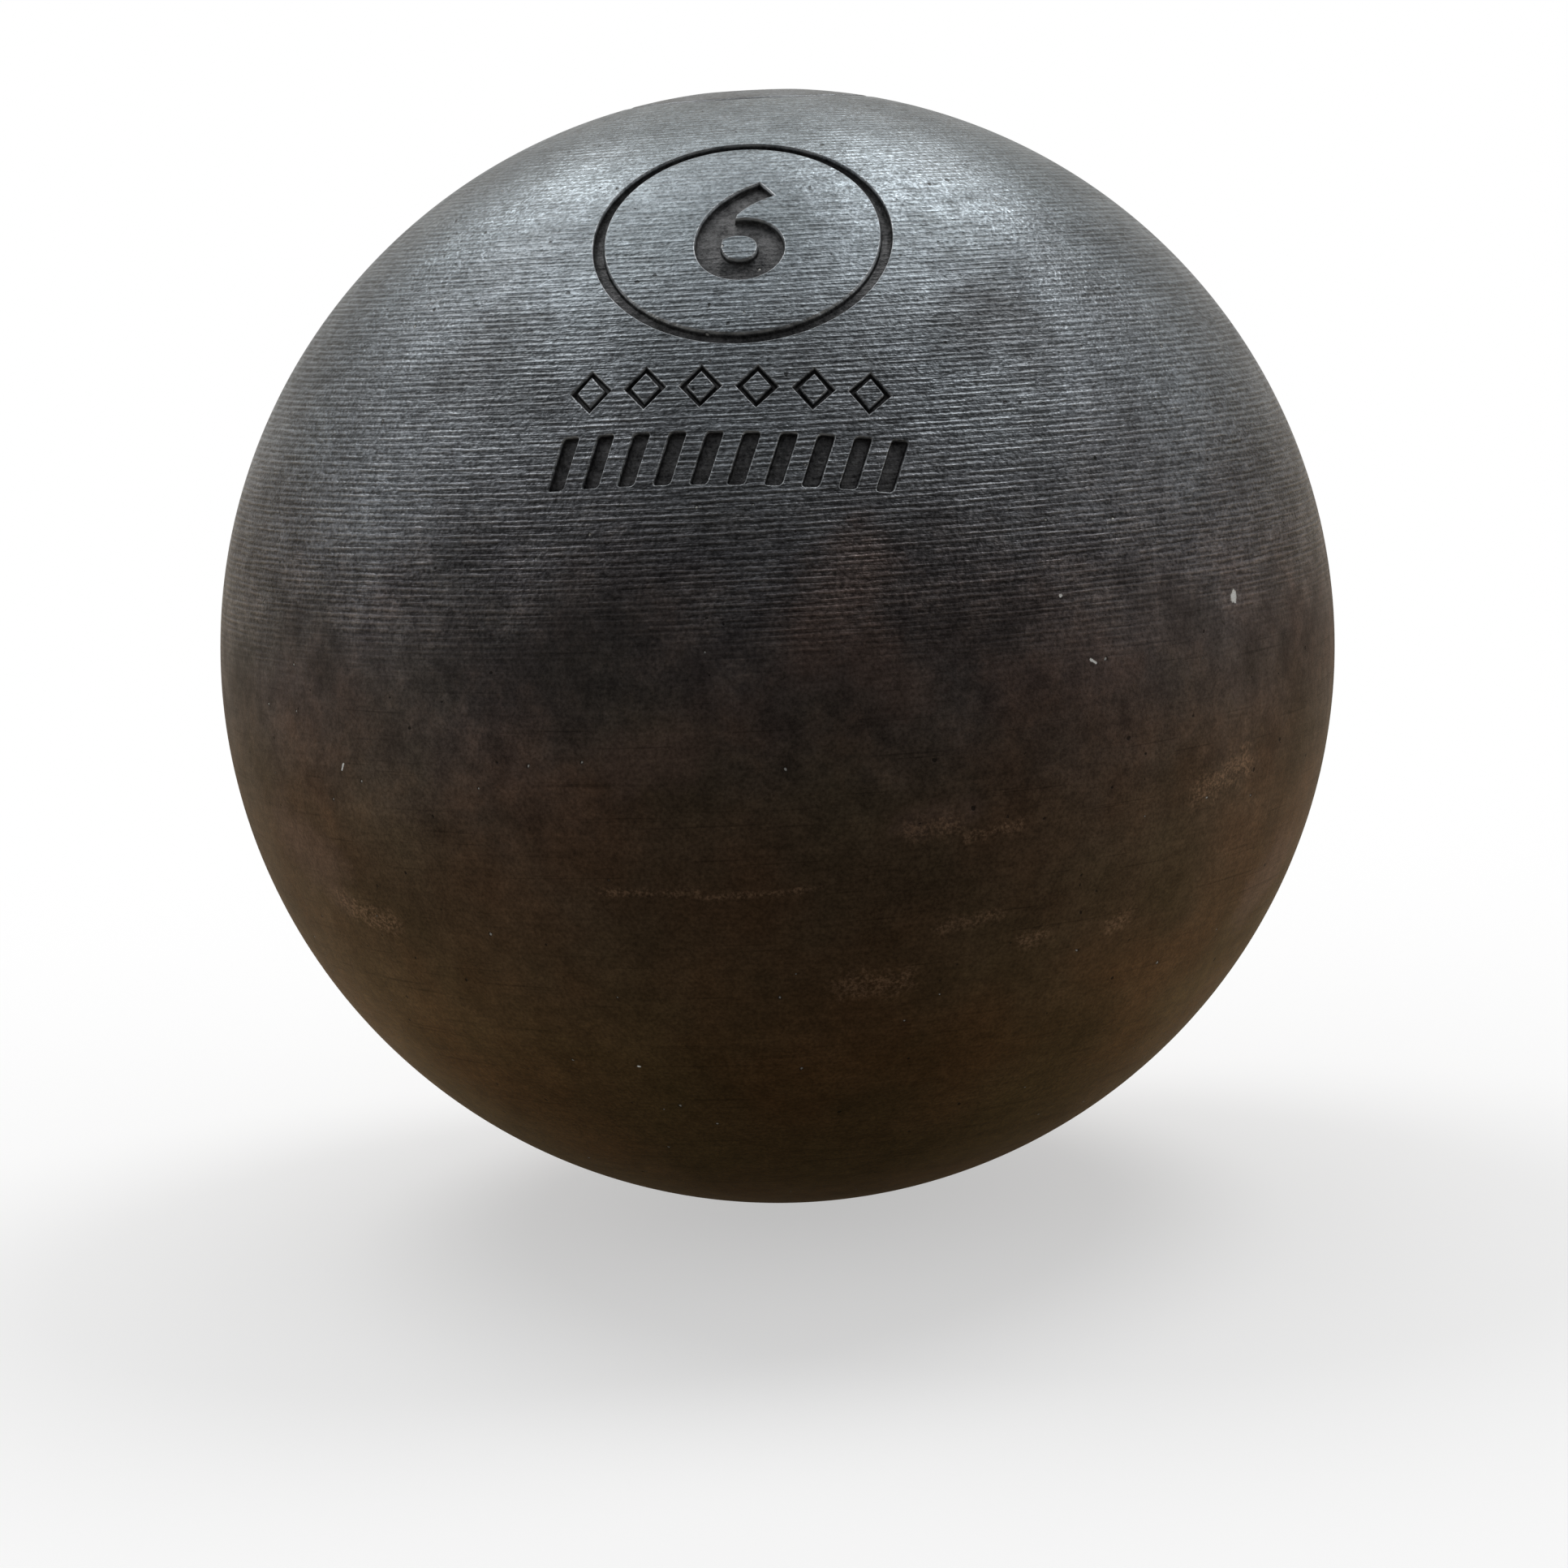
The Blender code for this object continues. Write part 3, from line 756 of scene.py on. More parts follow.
# Streaks along the turning: scale along it per metre and across it per millimetre, detail, strength
WANDER = (45.0, 1.1, 1.0, 0.9)
UNEVENNESS = (170.0, 3.7, 2.0, 2.6)
TEARS = (2400.0, 3.2, 2.0, 1.9)
FINE_LINES = (420.0, 5.5, 1.0, 1.6)
STREAKS = (55.0, 1.3, 3.0, 1.0)
SCORES = (75.0, 2.9, 1.0, 1.0)
LINE_STRENGTH = 0.8
LEAST_LINE = 0.1
MEAN_CREST = 0.64


def stretched(parts, arc_mm, along, across, detail, strength):
    """A noise about 0, drawn out along the turning."""
    place = {
        "X": times(parts["X"], along),
        "Y": times(parts["Y"], along),
        "Z": times(arc_mm, across),
    }
    streak = put("CombineXYZ", place).outputs[0]
    return times(centred(streak, 1.0, detail), strength)


def turned_lines():
    """The lines that a lathe leaves on a ball, each a circle of latitude: their height, about -1 to 1."""
    outputs = "Height Streak Scores Arc Depth"
    tree, given, result = group("turned_lines", "Position", "Pitch", outputs)
    radius = vector("LENGTH", given["Position"])
    parts = put("SeparateXYZ", {0: given["Position"]}).outputs
    latitude = calc("ARCSINE", calc("DIVIDE", parts["Z"], radius))
    arc_mm = times(latitude, BALL_RADIUS / MM)
    wander = stretched(parts, arc_mm, *WANDER)
    turn = plus(calc("DIVIDE", arc_mm, given["Pitch"]), wander)
    ridge = calc("ROUND", turn)
    crest = calc("ABSOLUTE", calc("SINE", times(turn, math.pi)))
    strength = plus(stretched(parts, ridge, *UNEVENNESS), LINE_STRENGTH)
    scallop = times(minus(MEAN_CREST, crest), calc("MAXIMUM", strength, LEAST_LINE))
    tears = stretched(parts, arc_mm, *TEARS)
    fine = stretched(parts, arc_mm, *FINE_LINES)
    made = {
        "Height": plus(scallop, tears, fine),
        "Streak": stretched(parts, arc_mm, *STREAKS),
        "Scores": stretched(parts, arc_mm, *SCORES),
        "Arc": arc_mm,
        "Depth": calc("DIVIDE", minus(BALL_RADIUS, radius), MM),
    }
    feed(result, made)
    return tree


# The specks' outline is bent by a noise of this scale per metre, by up to half this reach
BEND_SCALE = 1500.0
BEND_REACH = 0.4 * MM
LEAST_SPECK = 0.4
SPECK_CORE = 0.5


def specks():
    """Sparse round spots, one in some of the cells: a mask, 1 in the middle of a spot."""
    tree, given, result = group("specks", "Position", "Cells Size Share", "Mask")
    bend = put("TexNoise", {"Vector": given["Position"], "Scale": BEND_SCALE})
    bent = scaled(vector("SUBTRACT", bend.outputs["Color"], (0.5, 0.5, 0.5)), BEND_REACH)
    place = vector("ADD", given["Position"], bent)
    cell = put("TexVoronoi", {"Vector": place, "Scale": given["Cells"]}).outputs
    pick = put("SeparateColor", {0: cell["Color"]}).outputs
    chosen = calc("LESS_THAN", pick[0], given["Share"])
    size = times(given["Size"], plus(pick[1], LEAST_SPECK))
    spot = ramp(cell["Distance"], times(size, SPECK_CORE), size, 1.0, 0.0)
    feed(result, {"Mask": times(spot, chosen)})
    return tree


def blot():
    """A mask round the line between two points, with a ragged edge. Its width is half the blot's own."""
    tree, given, result = group("blot", "Position Start End", "Width Edge Soft", "Mask")
    from_start = vector("SUBTRACT", given["Position"], given["Start"])
    whole = vector("SUBTRACT", given["End"], given["Start"])
    along = vector("DOT_PRODUCT", from_start, whole)
    squared = calc("MAXIMUM", vector("DOT_PRODUCT", whole, whole), 1e-12)
    share = calc("DIVIDE", along, squared, clamp=True)
    away = vector("LENGTH", vector("SUBTRACT", from_start, scaled(whole, share)))
    distance = plus(calc("DIVIDE", away, given["Width"]), given["Edge"])
    near, far = minus(1.0, given["Soft"]), plus(1.0, given["Soft"])
    feed(result, {"Mask": ramp(distance, near, far, 1.0, 0.0)})
    return tree


def on_ball(longitude, latitude):
    """The point of the ball's surface at a longitude, from -Y towards +X, and a latitude, in degrees."""
    east, north = math.radians(longitude), math.radians(latitude)
    level = math.cos(north)
    return Vector((level * math.sin(east), -level * math.cos(east), math.sin(north))) * BALL_RADIUS


def span(longitude, latitude, slant, length, width):
    """A mark's two ends and its half width, from degrees and millimetres."""
    middle = on_ball(longitude, latitude)
    east = Vector((0.0, 0.0, 1.0)).cross(middle).normalized()
    upward = middle.cross(east).normalized()
    slant = math.radians(slant)
    reach = (east * math.cos(slant) + upward * math.sin(slant)) * length * MM / 2
    return middle - reach, middle + reach, width * MM


def blots(shared, position, marks, grain, ragged, soft):
    """One mask for a list of fine marks."""
    edge = times(centred(position, grain, *EDGE_NOISE), ragged)
    masks = []
    for mark in marks:
        start, end, width = span(*mark)
        inputs = {"Position": position, "Start": start, "End": end, "Width": width}
        masks.append(use(shared, inputs | {"Edge": edge, "Soft": soft})["Mask"])
    return calc("MAXIMUM", *masks)


def broad_mark_gaps(piece, name, marks):
    """Keeps how far each point is from the nearest of some broad marks, in that mark's half widths."""
    spans = [span(*mark) for mark in marks]
    field = piece.data.attributes.new(name, "FLOAT", "POINT")
    for vertex, kept in zip(piece.data.vertices, field.data):
        gaps = [gap_to(vertex.co, start, end) / width for start, end, width in spans]
        kept.value = min(FARTHEST_GAP, *gaps)


def broad_mask(name, ragged):
    """The mask of some broad marks, its edge made ragged by a noise."""
    gap = ragged.id_data.nodes.new("ShaderNodeAttribute")
    gap.attribute_name = name
    return ramp(plus(gap.outputs["Fac"], ragged), *BROAD_EDGE)


def blank_material(name):
    material = bpy.data.materials.new(name)
    material.use_nodes = True
    nodes = material.node_tree.nodes
    return material, nodes["Principled BSDF"], nodes.new("ShaderNodeTexCoord").outputs["Object"]


def bump(height):
    """The normal of a bump whose height is in millimetres."""
    inputs = {"Strength": 1.0, "Distance": MM, "Height": height}
    return put("Bump", inputs).outputs["Normal"]


# Each mark on the iron: longitude, latitude and slant in degrees, then length and half width in mm
CHIPS = (
    (48.7, 6.4, 75, 0.5, 0.42),
    (26.9, 8.6, 20, 0.1, 0.16),
    (29.7, 2.4, -30, 0.6, 0.13),
    (-18.8, -36.3, 0, 0.1, 0.14),
    (-46.0, -5.0, 60, 0.7, 0.10),
    (150.0, 22.0, 40, 0.6, 0.20),
    (-120.0, -12.0, 10, 0.5, 0.25),
    (110.0, -31.0, -50, 0.4, 0.14),
)
SCRATCHES = (
    (-45.2, 41.0, 25, 2.2, 0.07),
    (-49.9, 33.8, 15, 1.6, 0.06),
    (64.0, 31.0, -12, 2.6, 0.05),
    (-160.0, 50.0, 15, 3.6, 0.07),
    (120.0, 12.0, 35, 2.9, 0.06),
    (-95.0, 24.0, -40, 3.3, 0.06),
)
SMUDGES_AND_SHADE = (
    (-32.3, 34.3, 40, 6.0, 4.2),
    (-27.0, 29.5, 10, 4.0, 3.0),
    (25.9, 36.0, 10, 5.0, 3.2),
    (31.0, 32.0, 60, 3.0, 2.6),
    (13.9, 4.9, 15, 9.0, 4.5),
    (-21.0, 5.5, 5, 14.0, 4.5),
    # Painted shade, not a smudge: a dark patch that dims the right rim's reflection
    (76.0, 17.0, 70, 8.0, 5.5),
    (140.0, 30.0, 20, 7.0, 4.4),
    (-150.0, 30.0, -25, 16.0, 3.6),
    (95.0, 8.0, 10, 11.0, 4.6),
)
STAINS = (
    (5.5, 9.4, 57, 9.0, 3.0),
    (9.5, 3.2, -40, 4.5, 2.8),
    (-12.0, -3.5, 20, 5.0, 2.6),
    (13.4, -10.5, 8, 6.0, 1.3),
    (-55.8, -14.3, -35, 6.0, 3.4),
    (62.2, -23.2, 40, 5.0, 3.2),
    (-170.0, 4.0, 35, 9.0, 3.2),
    (-105.0, -16.0, 15, 8.0, 3.0),
)
SCUFFS = (
    (13.6, -11.3, 4, 4.0, 0.8),
    (19.5, -12.2, 8, 5.5, 0.5),
    (17.4, -21.0, 8, 6.0, 0.6),
    (24.8, -23.6, 6, 2.0, 0.7),
    (35.0, -23.4, 10, 1.6, 0.8),
    (-13.5, -16.2, -1, 9.0, 0.35),
    (-3.0, -16.6, 2, 12.0, 0.25),
    (8.0, -27.0, 3, 5.0, 1.2),
    (47.0, -10.5, 16, 7.0, 1.2),
    (-48.0, -20.0, -12, 7.0, 1.0),
    (100.0, -18.0, 5, 6.0, 0.7),
    (160.0, -26.0, -8, 8.0, 0.6),
    (-150.0, -12.0, 10, 5.0, 0.9),
)
# Polished patches where the highlights fall: their brighter colour is a painted highlight, their lower
# roughness real polish
POLISH_AND_GLINT_PATCHES = (
    (30.0, 55.0, -20, 12.0, 8.0),
    (-48.0, 55.0, 25, 12.0, 7.0),
    (44.0, 39.0, -10, 7.0, 3.5),
    (170.0, 52.0, 10, 14.0, 8.0),
    (105.0, 47.0, 15, 9.0, 5.0),
    (-125.0, 50.0, 0, 12.0, 6.0),
)
BROAD_MARKS = {"smudges_and_shade": SMUDGES_AND_SHADE, "stains": STAINS, "polish_and_glint": POLISH_AND_GLINT_PATCHES}
FARTHEST_GAP = 4.0
BROAD_EDGE = (0.3, 1.7, 1.0, 0.0)
BROAD_RAGGED = 3.0

# Fine marks' edge: its noise's detail and roughness, then its scale per metre, how ragged and how soft
EDGE_NOISE = (3.0, 0.65)
SCUFF_EDGE = (900.0, 4.0, 0.9)
CHIP_EDGE = (2400.0, 2.4, 0.3)
SCRATCH_EDGE = (1500.0, 3.0, 0.3)

# Specks: cells per metre, their size and share in those cells
IRON_PITS = {"Cells": 600.0, "Size": 0.13, "Share": 0.3}
IRON_DUST = {"Cells": 600.0, "Size": 0.08, "Share": 0.12}
STEEL_PITS = {"Cells": 420.0, "Size": 0.10, "Share": 0.15}
LEAD_PITS = {"Cells": 300.0, "Size": 0.14, "Share": 0.3}

# Millimetres from line to line, along the ball's arc
BALL_LINES = 0.635
PLUG_LINES = 0.5

# The iron's noises: scale per metre, detail and roughness
PATCHES = (42.0, 4.0, 0.6)
CLOUDS = (85.0, 5.0, 0.6)
HUES = (50.0, 3.0, 0.55)
GRAIN = (3000.0, 3.0, 0.7)
FLECKS = (620.0, 4.0, 0.7)
MOTTLE = (250.0, 6.0, 0.75)

# The iron's changes by height: millimetres up from the equator, then what it changes from and to
PATCH_REACH = 20.0
POLE_TO_POLE = (-92.0, 92.0)
UPPER_HALF = (0.0, 13.0)
LINES_APPEAR = (1.0, 14.0, 0.06, 1.3)
LINES_EASE = (24.0, 64.0, 1.0, 0.36)
HUES_FADE = (-2.0, 22.0, 1.0, 0.12)
BORDER_HEIGHT = 3.0
BORDER_FADE = (6.0, 22.0, 0.8, 0.08)
IRON_ROUGHNESS = (-10.0, 25.0, 0.50, 0.38)

# The iron's changes by depth, in millimetres under the ball's surface
CUT_FLOOR = (0.12, 0.40)
RIM_TOP = (0.011, 0.022)
RIM_FOOT = (0.16, 0.28, 1.0, 0.0)

# The iron's changes by noise or by the lines' height
# The next three set the ridges' brightness in the colour: partly wear, partly painted highlight on crests and
# painted shade in grooves
LIT_RIDGE = (-0.8, 0.8, 0.45, 1.6)
LIT_GRAIN = (0.25, 0.75, 0.62, 1.4)
LIT_FLECKS = (0.3, 0.7, 0.85, 1.15)
GLINT_GRAIN = (0.42, 0.62)
SCUFF_GRAIN = (0.40, 0.62, 0.05, 0.55)
RIM_FLECKS = (0.35, 0.6, 0.25, 0.9)
SCORE_LINES = (0.14, 0.26)
SCORES_FADE = (0.0, 1.0, 0.28, 0.0)

# Colours by height on the iron, from its lower pole to its upper one; partly painted light, as the lighter
# bluish top stands in for highlight and the brown for a warm reflection
OXIDE_AND_LIGHT_TONES = (
    (0.00, (0.080, 0.049, 0.021)),
    (0.30, (0.078, 0.050, 0.024)),
    (0.44, (0.072, 0.051, 0.035)),
    (0.51, (0.064, 0.053, 0.050)),
    (0.57, (0.066, 0.064, 0.068)),
    (0.65, (0.107, 0.116, 0.126)),
    (0.78, (0.126, 0.144, 0.157)),
    (1.00, (0.124, 0.141, 0.154)),
)
# What its noises multiply those colours by, and the tones of a cut floor
CLOUD_TONES = ((0.28, (0.80, 0.80, 0.80)), (0.50, (1.02, 1.02, 1.02)), (0.72, (1.22, 1.22, 1.22)))
HUE_TONES = ((0.36, (0.96, 1.02, 0.98)), (0.50, (1.0, 1.0, 1.0)), (0.64, (1.08, 0.97, 0.92)))
MOTTLE_TONES = ((0.36, (0.62, 0.62, 0.64)), (0.50, (1.0, 1.0, 1.0)), (0.63, (1.35, 1.28, 1.22)))
CUT_TONES = ((0.38, (0.018, 0.018, 0.019)), (0.62, (0.100, 0.099, 0.101)))
# How strongly each mark covers them, and its colour
SMUDGE_AND_SHADE_TONE = (0.4, (0.024, 0.023, 0.023, 1.0))
STAIN = (0.4, (0.130, 0.088, 0.072, 1.0))
IRON_PIT = (0.75, (0.006, 0.006, 0.006, 1.0))
SCRATCH = (0.5, (0.30, 0.31, 0.32, 1.0))
SCUFF = (0.200, 0.130, 0.085, 1.0)
# The cut marks' rims: partly rubbed burr, partly a painted highlight where their edges catch the light
RUBBED_RIM_AND_HIGHLIGHT = (0.30, 0.315, 0.330, 1.0)
BARE_METAL = (0.50, 0.50, 0.48, 1.0)
OXIDE_TINT = (0.60, 0.57, 0.53, 1.0)
CUT_FLOOR_COVER = 0.9
DUST_BRIGHT = 0.5

# How much the iron's lines fade in a cut, its ridges brighten, and its roughness and metal change
CUT_SMOOTHING = 0.6
STREAK_LIGHT = 0.35
# A painted highlight: how much the glint brightens the polished patches
GLINT_LIGHT = 0.35
CLOUD_ROUGHNESS = -0.15
WORN_ROUGHNESS = -0.25
GRAIN_ROUGHNESS = 0.30
GLINT_ROUGHNESS = 0.12
CUT_ROUGHNESS = 0.15
IRON_METAL = 0.92
BARE_METAL_LOSS = 0.8

# Bump heights on the iron, in millimetres
LINE_RELIEF = 0.05
GRAIN_RELIEF = 0.045
CUT_RELIEF = 0.16
PIT_RELIEF = 0.06
CHIP_RELIEF = 0.05


def iron_finish(lines, spots, mark):
    """Dark oxide over turned iron: bright worn ridges above the equator, brown and smoother below it. The
    lighter top and the ridges' bright crests are partly painted highlight, the grooves partly painted shade,
    and the brown partly a painted warm reflection.
    """
    material, shader, position = blank_material("turned_iron")
    turning = use(lines, {"Position": position, "Pitch": BALL_LINES})
    clouds, grain, fleck, mottle = [lumps(position, *kind) for kind in (CLOUDS, GRAIN, FLECKS, MOTTLE)]
    ragged = times(minus(mottle, 0.5), BROAD_RAGGED)
    smudges_and_shade, stains, polish_and_glint = [broad_mask(name, ragged) for name in BROAD_MARKS]
    scuffs = blots(mark, position, SCUFFS, *SCUFF_EDGE)
    chips = blots(mark, position, CHIPS, *CHIP_EDGE)
    scratches = blots(mark, position, SCRATCHES, *SCRATCH_EDGE)
    pits = use(spots, IRON_PITS | {"Position": position})["Mask"]
    dust = use(spots, IRON_DUST | {"Position": position})["Mask"]
    sunk = ramp(turning["Depth"], *CUT_FLOOR)

    # Where on the ball: its height, moved up and down in patches, and what follows it
    shifted = plus(turning["Arc"], times(centred(position, *PATCHES), PATCH_REACH))
    upper = ramp(shifted, *UPPER_HALF)
    worn = times(ramp(shifted, *LINES_APPEAR), ramp(shifted, *LINES_EASE))
    height = times(turning["Height"], worn, minus(1.0, times(sunk, CUT_SMOOTHING)))
    from_border = calc("ABSOLUTE", minus(shifted, BORDER_HEIGHT))

    # The oxide's colour by height, lighter and bluer above as a partly painted highlight, browner below as a
    # partly painted warm reflection
    colour = tones(ramp(shifted, *POLE_TO_POLE, kind="LINEAR"), OXIDE_AND_LIGHT_TONES)
    colour = blend(1.0, colour, tones(clouds, CLOUD_TONES), "MULTIPLY")
    hues = tones(lumps(position, *HUES), HUE_TONES)
    colour = blend(ramp(shifted, *HUES_FADE), colour, hues, "MULTIPLY")
    blotches = tones(mottle, MOTTLE_TONES)
    colour = blend(ramp(from_border, *BORDER_FADE), colour, blotches, "MULTIPLY")
    # Dark smudges, one of them painted shade on the right rim
    colour = layer(colour, smudges_and_shade, *SMUDGE_AND_SHADE_TONE)
    colour = layer(colour, stains, *STAIN)
    colour = layer(colour, scuffs, ramp(grain, *SCUFF_GRAIN), SCUFF)

    # How bright the ridges between the lines are: partly wear, partly painted highlight on the crests and
    # painted shade in the grooves
    # The glint: a painted highlight on the polished patches, which also lowers their roughness
    glint = times(polish_and_glint, ramp(grain, *GLINT_GRAIN))
    drawn = times(ramp(turning["Scores"], *SCORE_LINES), ramp(upper, *SCORES_FADE))
    ridge = plus(ramp(height, *LIT_RIDGE), times(turning["Streak"], STREAK_LIGHT))
    ridge = times(ridge, ramp(grain, *LIT_GRAIN), ramp(fleck, *LIT_FLECKS))
    ridge = times(ridge, plus(1.0, times(glint, GLINT_LIGHT)), minus(1.0, drawn))

    # What lies on that: pits, the cut marks with their rims, rubbed and partly a painted highlight, scratches
    # and chips
    colour = layer(scaled(colour, ridge), pits, *IRON_PIT)
    milled = times(plus(grain, fleck), 0.5)
    # The cut floors are laid over with their own darker tones
    colour = layer(colour, sunk, CUT_FLOOR_COVER, tones(milled, CUT_TONES))
    # The rims round the cut marks: rubbed burr, partly a painted highlight
    rim = times(ramp(turning["Depth"], *RIM_TOP), ramp(turning["Depth"], *RIM_FOOT))
    colour = layer(colour, rim, ramp(fleck, *RIM_FLECKS), RUBBED_RIM_AND_HIGHLIGHT)
    colour = layer(colour, scratches, *SCRATCH)
    bare = calc("MAXIMUM", chips, times(dust, DUST_BRIGHT))
    colour = blend(bare, colour, BARE_METAL)

    # Its roughness and its relief
    rough = ramp(shifted, *IRON_ROUGHNESS)
    rough = plus(rough, times(minus(clouds, 0.5), CLOUD_ROUGHNESS))
    rough = plus(rough, times(minus(times(upper, fleck), 0.5), WORN_ROUGHNESS))
    rough = plus(rough, times(minus(grain, 0.5), GRAIN_ROUGHNESS))
    rough = minus(rough, times(glint, GLINT_ROUGHNESS))
    relief = plus(times(height, LINE_RELIEF), times(grain, GRAIN_RELIEF))
    relief = plus(relief, times(sunk, fleck, CUT_RELIEF))
    relief = minus(relief, times(pits, PIT_RELIEF))
    relief = minus(relief, times(calc("MAXIMUM", chips, scratches), CHIP_RELIEF))
    feed(shader, {
        "Base Color": colour,
        "Roughness": plus(rough, times(sunk, CUT_ROUGHNESS), clamp=True),
        "Metallic": minus(IRON_METAL, times(bare, BARE_METAL_LOSS)),
        "Specular Tint": OXIDE_TINT,
        "Normal": bump(relief),
    })
    return material


STEEL_CLOUDS = (140.0, 4.0, 0.6, 0.5)
STEEL_GRAIN = (2600.0, 2.0, 0.6)
# Tones matched to the iron's lighter top, so partly a painted highlight
STEEL_TONES = ((0.3, (0.078, 0.085, 0.092)), (0.7, (0.145, 0.157, 0.168)))
STEEL_EDGE = (0.5, (0.20, 0.20, 0.205, 1.0))
STEEL_PIT = (0.8, (0.006, 0.006, 0.006, 1.0))
STEEL_ROUGHNESS = 0.42
STEEL_CLOUD_ROUGHNESS = 0.2
STEEL_GRAIN_ROUGHNESS = 0.15
STEEL_METAL = 0.95
STEEL_LINE_RELIEF = 0.03
STEEL_GRAIN_RELIEF = 0.015
STEEL_PIT_RELIEF = 0.05
# By depth under the ball's surface, in millimetres
STEEL_OUTSIDE = (0.02, 0.25, 1.0, 0.0)
STEEL_EDGE_TOP = (0.02, 0.10)
STEEL_EDGE_FOOT = (0.35, 0.60, 1.0, 0.0)
# By the lines' height, and by the grain
# The ridges' brightness in the colour: partly wear, partly painted highlight on crests and painted shade in
# grooves
STEEL_RIDGE = (-0.9, 1.1, 0.6, 1.6)
STEEL_LIT_GRAIN = (0.3, 0.7, 0.8, 1.2)


def steel_finish(lines, spots):
    """The plug: the same dark oxide, brighter where the key and the lathe have rubbed it. Like the iron's
    top, its tones and bright crests are partly painted highlight, its grooves partly painted shade.
    """
    material, shader, position = blank_material("blacked_steel")
    turning = use(lines, {"Position": position, "Pitch": PLUG_LINES})
    depth = turning["Depth"]
    clouds = lumps(position, *STEEL_CLOUDS)
    grain = lumps(position, *STEEL_GRAIN)
    pits = use(spots, STEEL_PITS | {"Position": position})["Mask"]
    height = times(turning["Height"], ramp(depth, *STEEL_OUTSIDE))
    ridge = times(ramp(height, *STEEL_RIDGE), ramp(grain, *STEEL_LIT_GRAIN))
    colour = scaled(tones(clouds, STEEL_TONES), ridge)
    edge = times(ramp(depth, *STEEL_EDGE_TOP), ramp(depth, *STEEL_EDGE_FOOT))
    colour = layer(colour, edge, *STEEL_EDGE)
    rough = plus(STEEL_ROUGHNESS, times(minus(clouds, 0.5), STEEL_CLOUD_ROUGHNESS))
    rough = plus(rough, times(minus(grain, 0.5), STEEL_GRAIN_ROUGHNESS), clamp=True)
    relief = plus(times(height, STEEL_LINE_RELIEF), times(grain, STEEL_GRAIN_RELIEF))
    feed(shader, {
        "Base Color": layer(colour, pits, *STEEL_PIT),
        "Roughness": rough,
        "Metallic": STEEL_METAL,
        "Specular Tint": OXIDE_TINT,
        "Normal": bump(minus(relief, times(pits, STEEL_PIT_RELIEF))),
    })
    return material


RUBBER_BLOOM = (300.0, 4.0, 0.6)
RUBBER_SKIN = 4000.0
RUBBER_RELIEF = 0.01
RUBBER_ROUGHNESS = (0.3, 0.7, 0.55, 0.80)
RUBBER_TONES = ((0.35, (0.012, 0.012, 0.013)), (0.75, (0.045, 0.045, 0.046)))


def rubber_finish():
    """Black rubber, with the grey bloom that comes with age."""
    material, shader, position = blank_material("seal_rubber")
    bloom = lumps(position, *RUBBER_BLOOM)
    feed(shader, {
        "Base Color": tones(bloom, RUBBER_TONES),
        "Roughness": ramp(bloom, *RUBBER_ROUGHNESS),
        "Normal": bump(times(lumps(position, RUBBER_SKIN), RUBBER_RELIEF)),
    })
    return material


FELT_FIBRES = (1400.0, 3.0, 0.7, 3.0)
FELT_CLUMPS = (260.0, 3.0)
FELT_RELIEF = 0.15
FELT_ROUGHNESS = 0.95
FELT_SHEEN = 0.4
FELT_TONES = ((0.3, (0.14, 0.13, 0.115)), (0.7, (0.36, 0.34, 0.31)))


def felt_finish():
    """Pressed grey wool, its short fibres lying every way."""
    material, shader, position = blank_material("grey_felt")
    fibres = lumps(position, *FELT_FIBRES)
    both = times(plus(fibres, lumps(position, *FELT_CLUMPS)), 0.5)
    feed(shader, {
        "Base Color": tones(both, FELT_TONES),
        "Roughness": FELT_ROUGHNESS,
        "Sheen Weight": FELT_SHEEN,
        "Normal": bump(times(fibres, FELT_RELIEF)),
    })
    return material


LEAD_OXIDE = (180.0, 5.0, 0.65, 0.8)
LEAD_GRAIN = (1800.0, 3.0, 0.6)
LEAD_TONES = ((0.35, (0.10, 0.105, 0.115)), (0.55, (0.17, 0.175, 0.185)), (0.75, (0.30, 0.30, 0.30)))
LEAD_PIT = (0.6, (0.05, 0.05, 0.055, 1.0))
LEAD_ROUGHNESS = (0.3, 0.7, 0.42, 0.70)
LEAD_METAL = (0.45, 0.75, 0.85, 0.35)
LEAD_GRAIN_RELIEF = 0.03
LEAD_PIT_RELIEF = 0.08


def lead_finish(spots):
    """Dull cast lead: blue-grey, with pale oxide in patches."""
    material, shader, position = blank_material("lead")
    oxide = lumps(position, *LEAD_OXIDE)
    grain = lumps(position, *LEAD_GRAIN)
    pits = use(spots, LEAD_PITS | {"Position": position})["Mask"]
    feed(shader, {
        "Base Color": layer(tones(oxide, LEAD_TONES), pits, *LEAD_PIT),
        "Roughness": ramp(oxide, *LEAD_ROUGHNESS),
        "Metallic": ramp(oxide, *LEAD_METAL),
        "Normal": bump(minus(times(grain, LEAD_GRAIN_RELIEF), times(pits, LEAD_PIT_RELIEF))),
    })
    return material


# Stage


FILL = 0.45
FRONT_DIM = 0.17
FRONT_EDGE = (-0.1, 0.9)
WHITE = (1.0, 1.0, 1.0, 1.0)
FLOOR_TONE = (0.92, 0.92, 0.92, 1.0)
# The floor's warm tone in the ball's mirror is a painted reflection
FLOOR_MIRRORED = (1.0, 0.90, 0.76, 1.0)
FLOOR_REACH = 100 * BALL_RADIUS
# Over the floor from the ball's centre: where it turns white, and how bright the ball mirrors it, dimmed next
# to the ball as a painted shadow
FLOOR_WHITENS = (1.3 * BALL_RADIUS, 6.0 * BALL_RADIUS, 0.5, 1.0)
FLOOR_MIRROR_SHADOW = (1.0 * BALL_RADIUS, 1.55 * BALL_RADIUS, 0.35, 1.1)


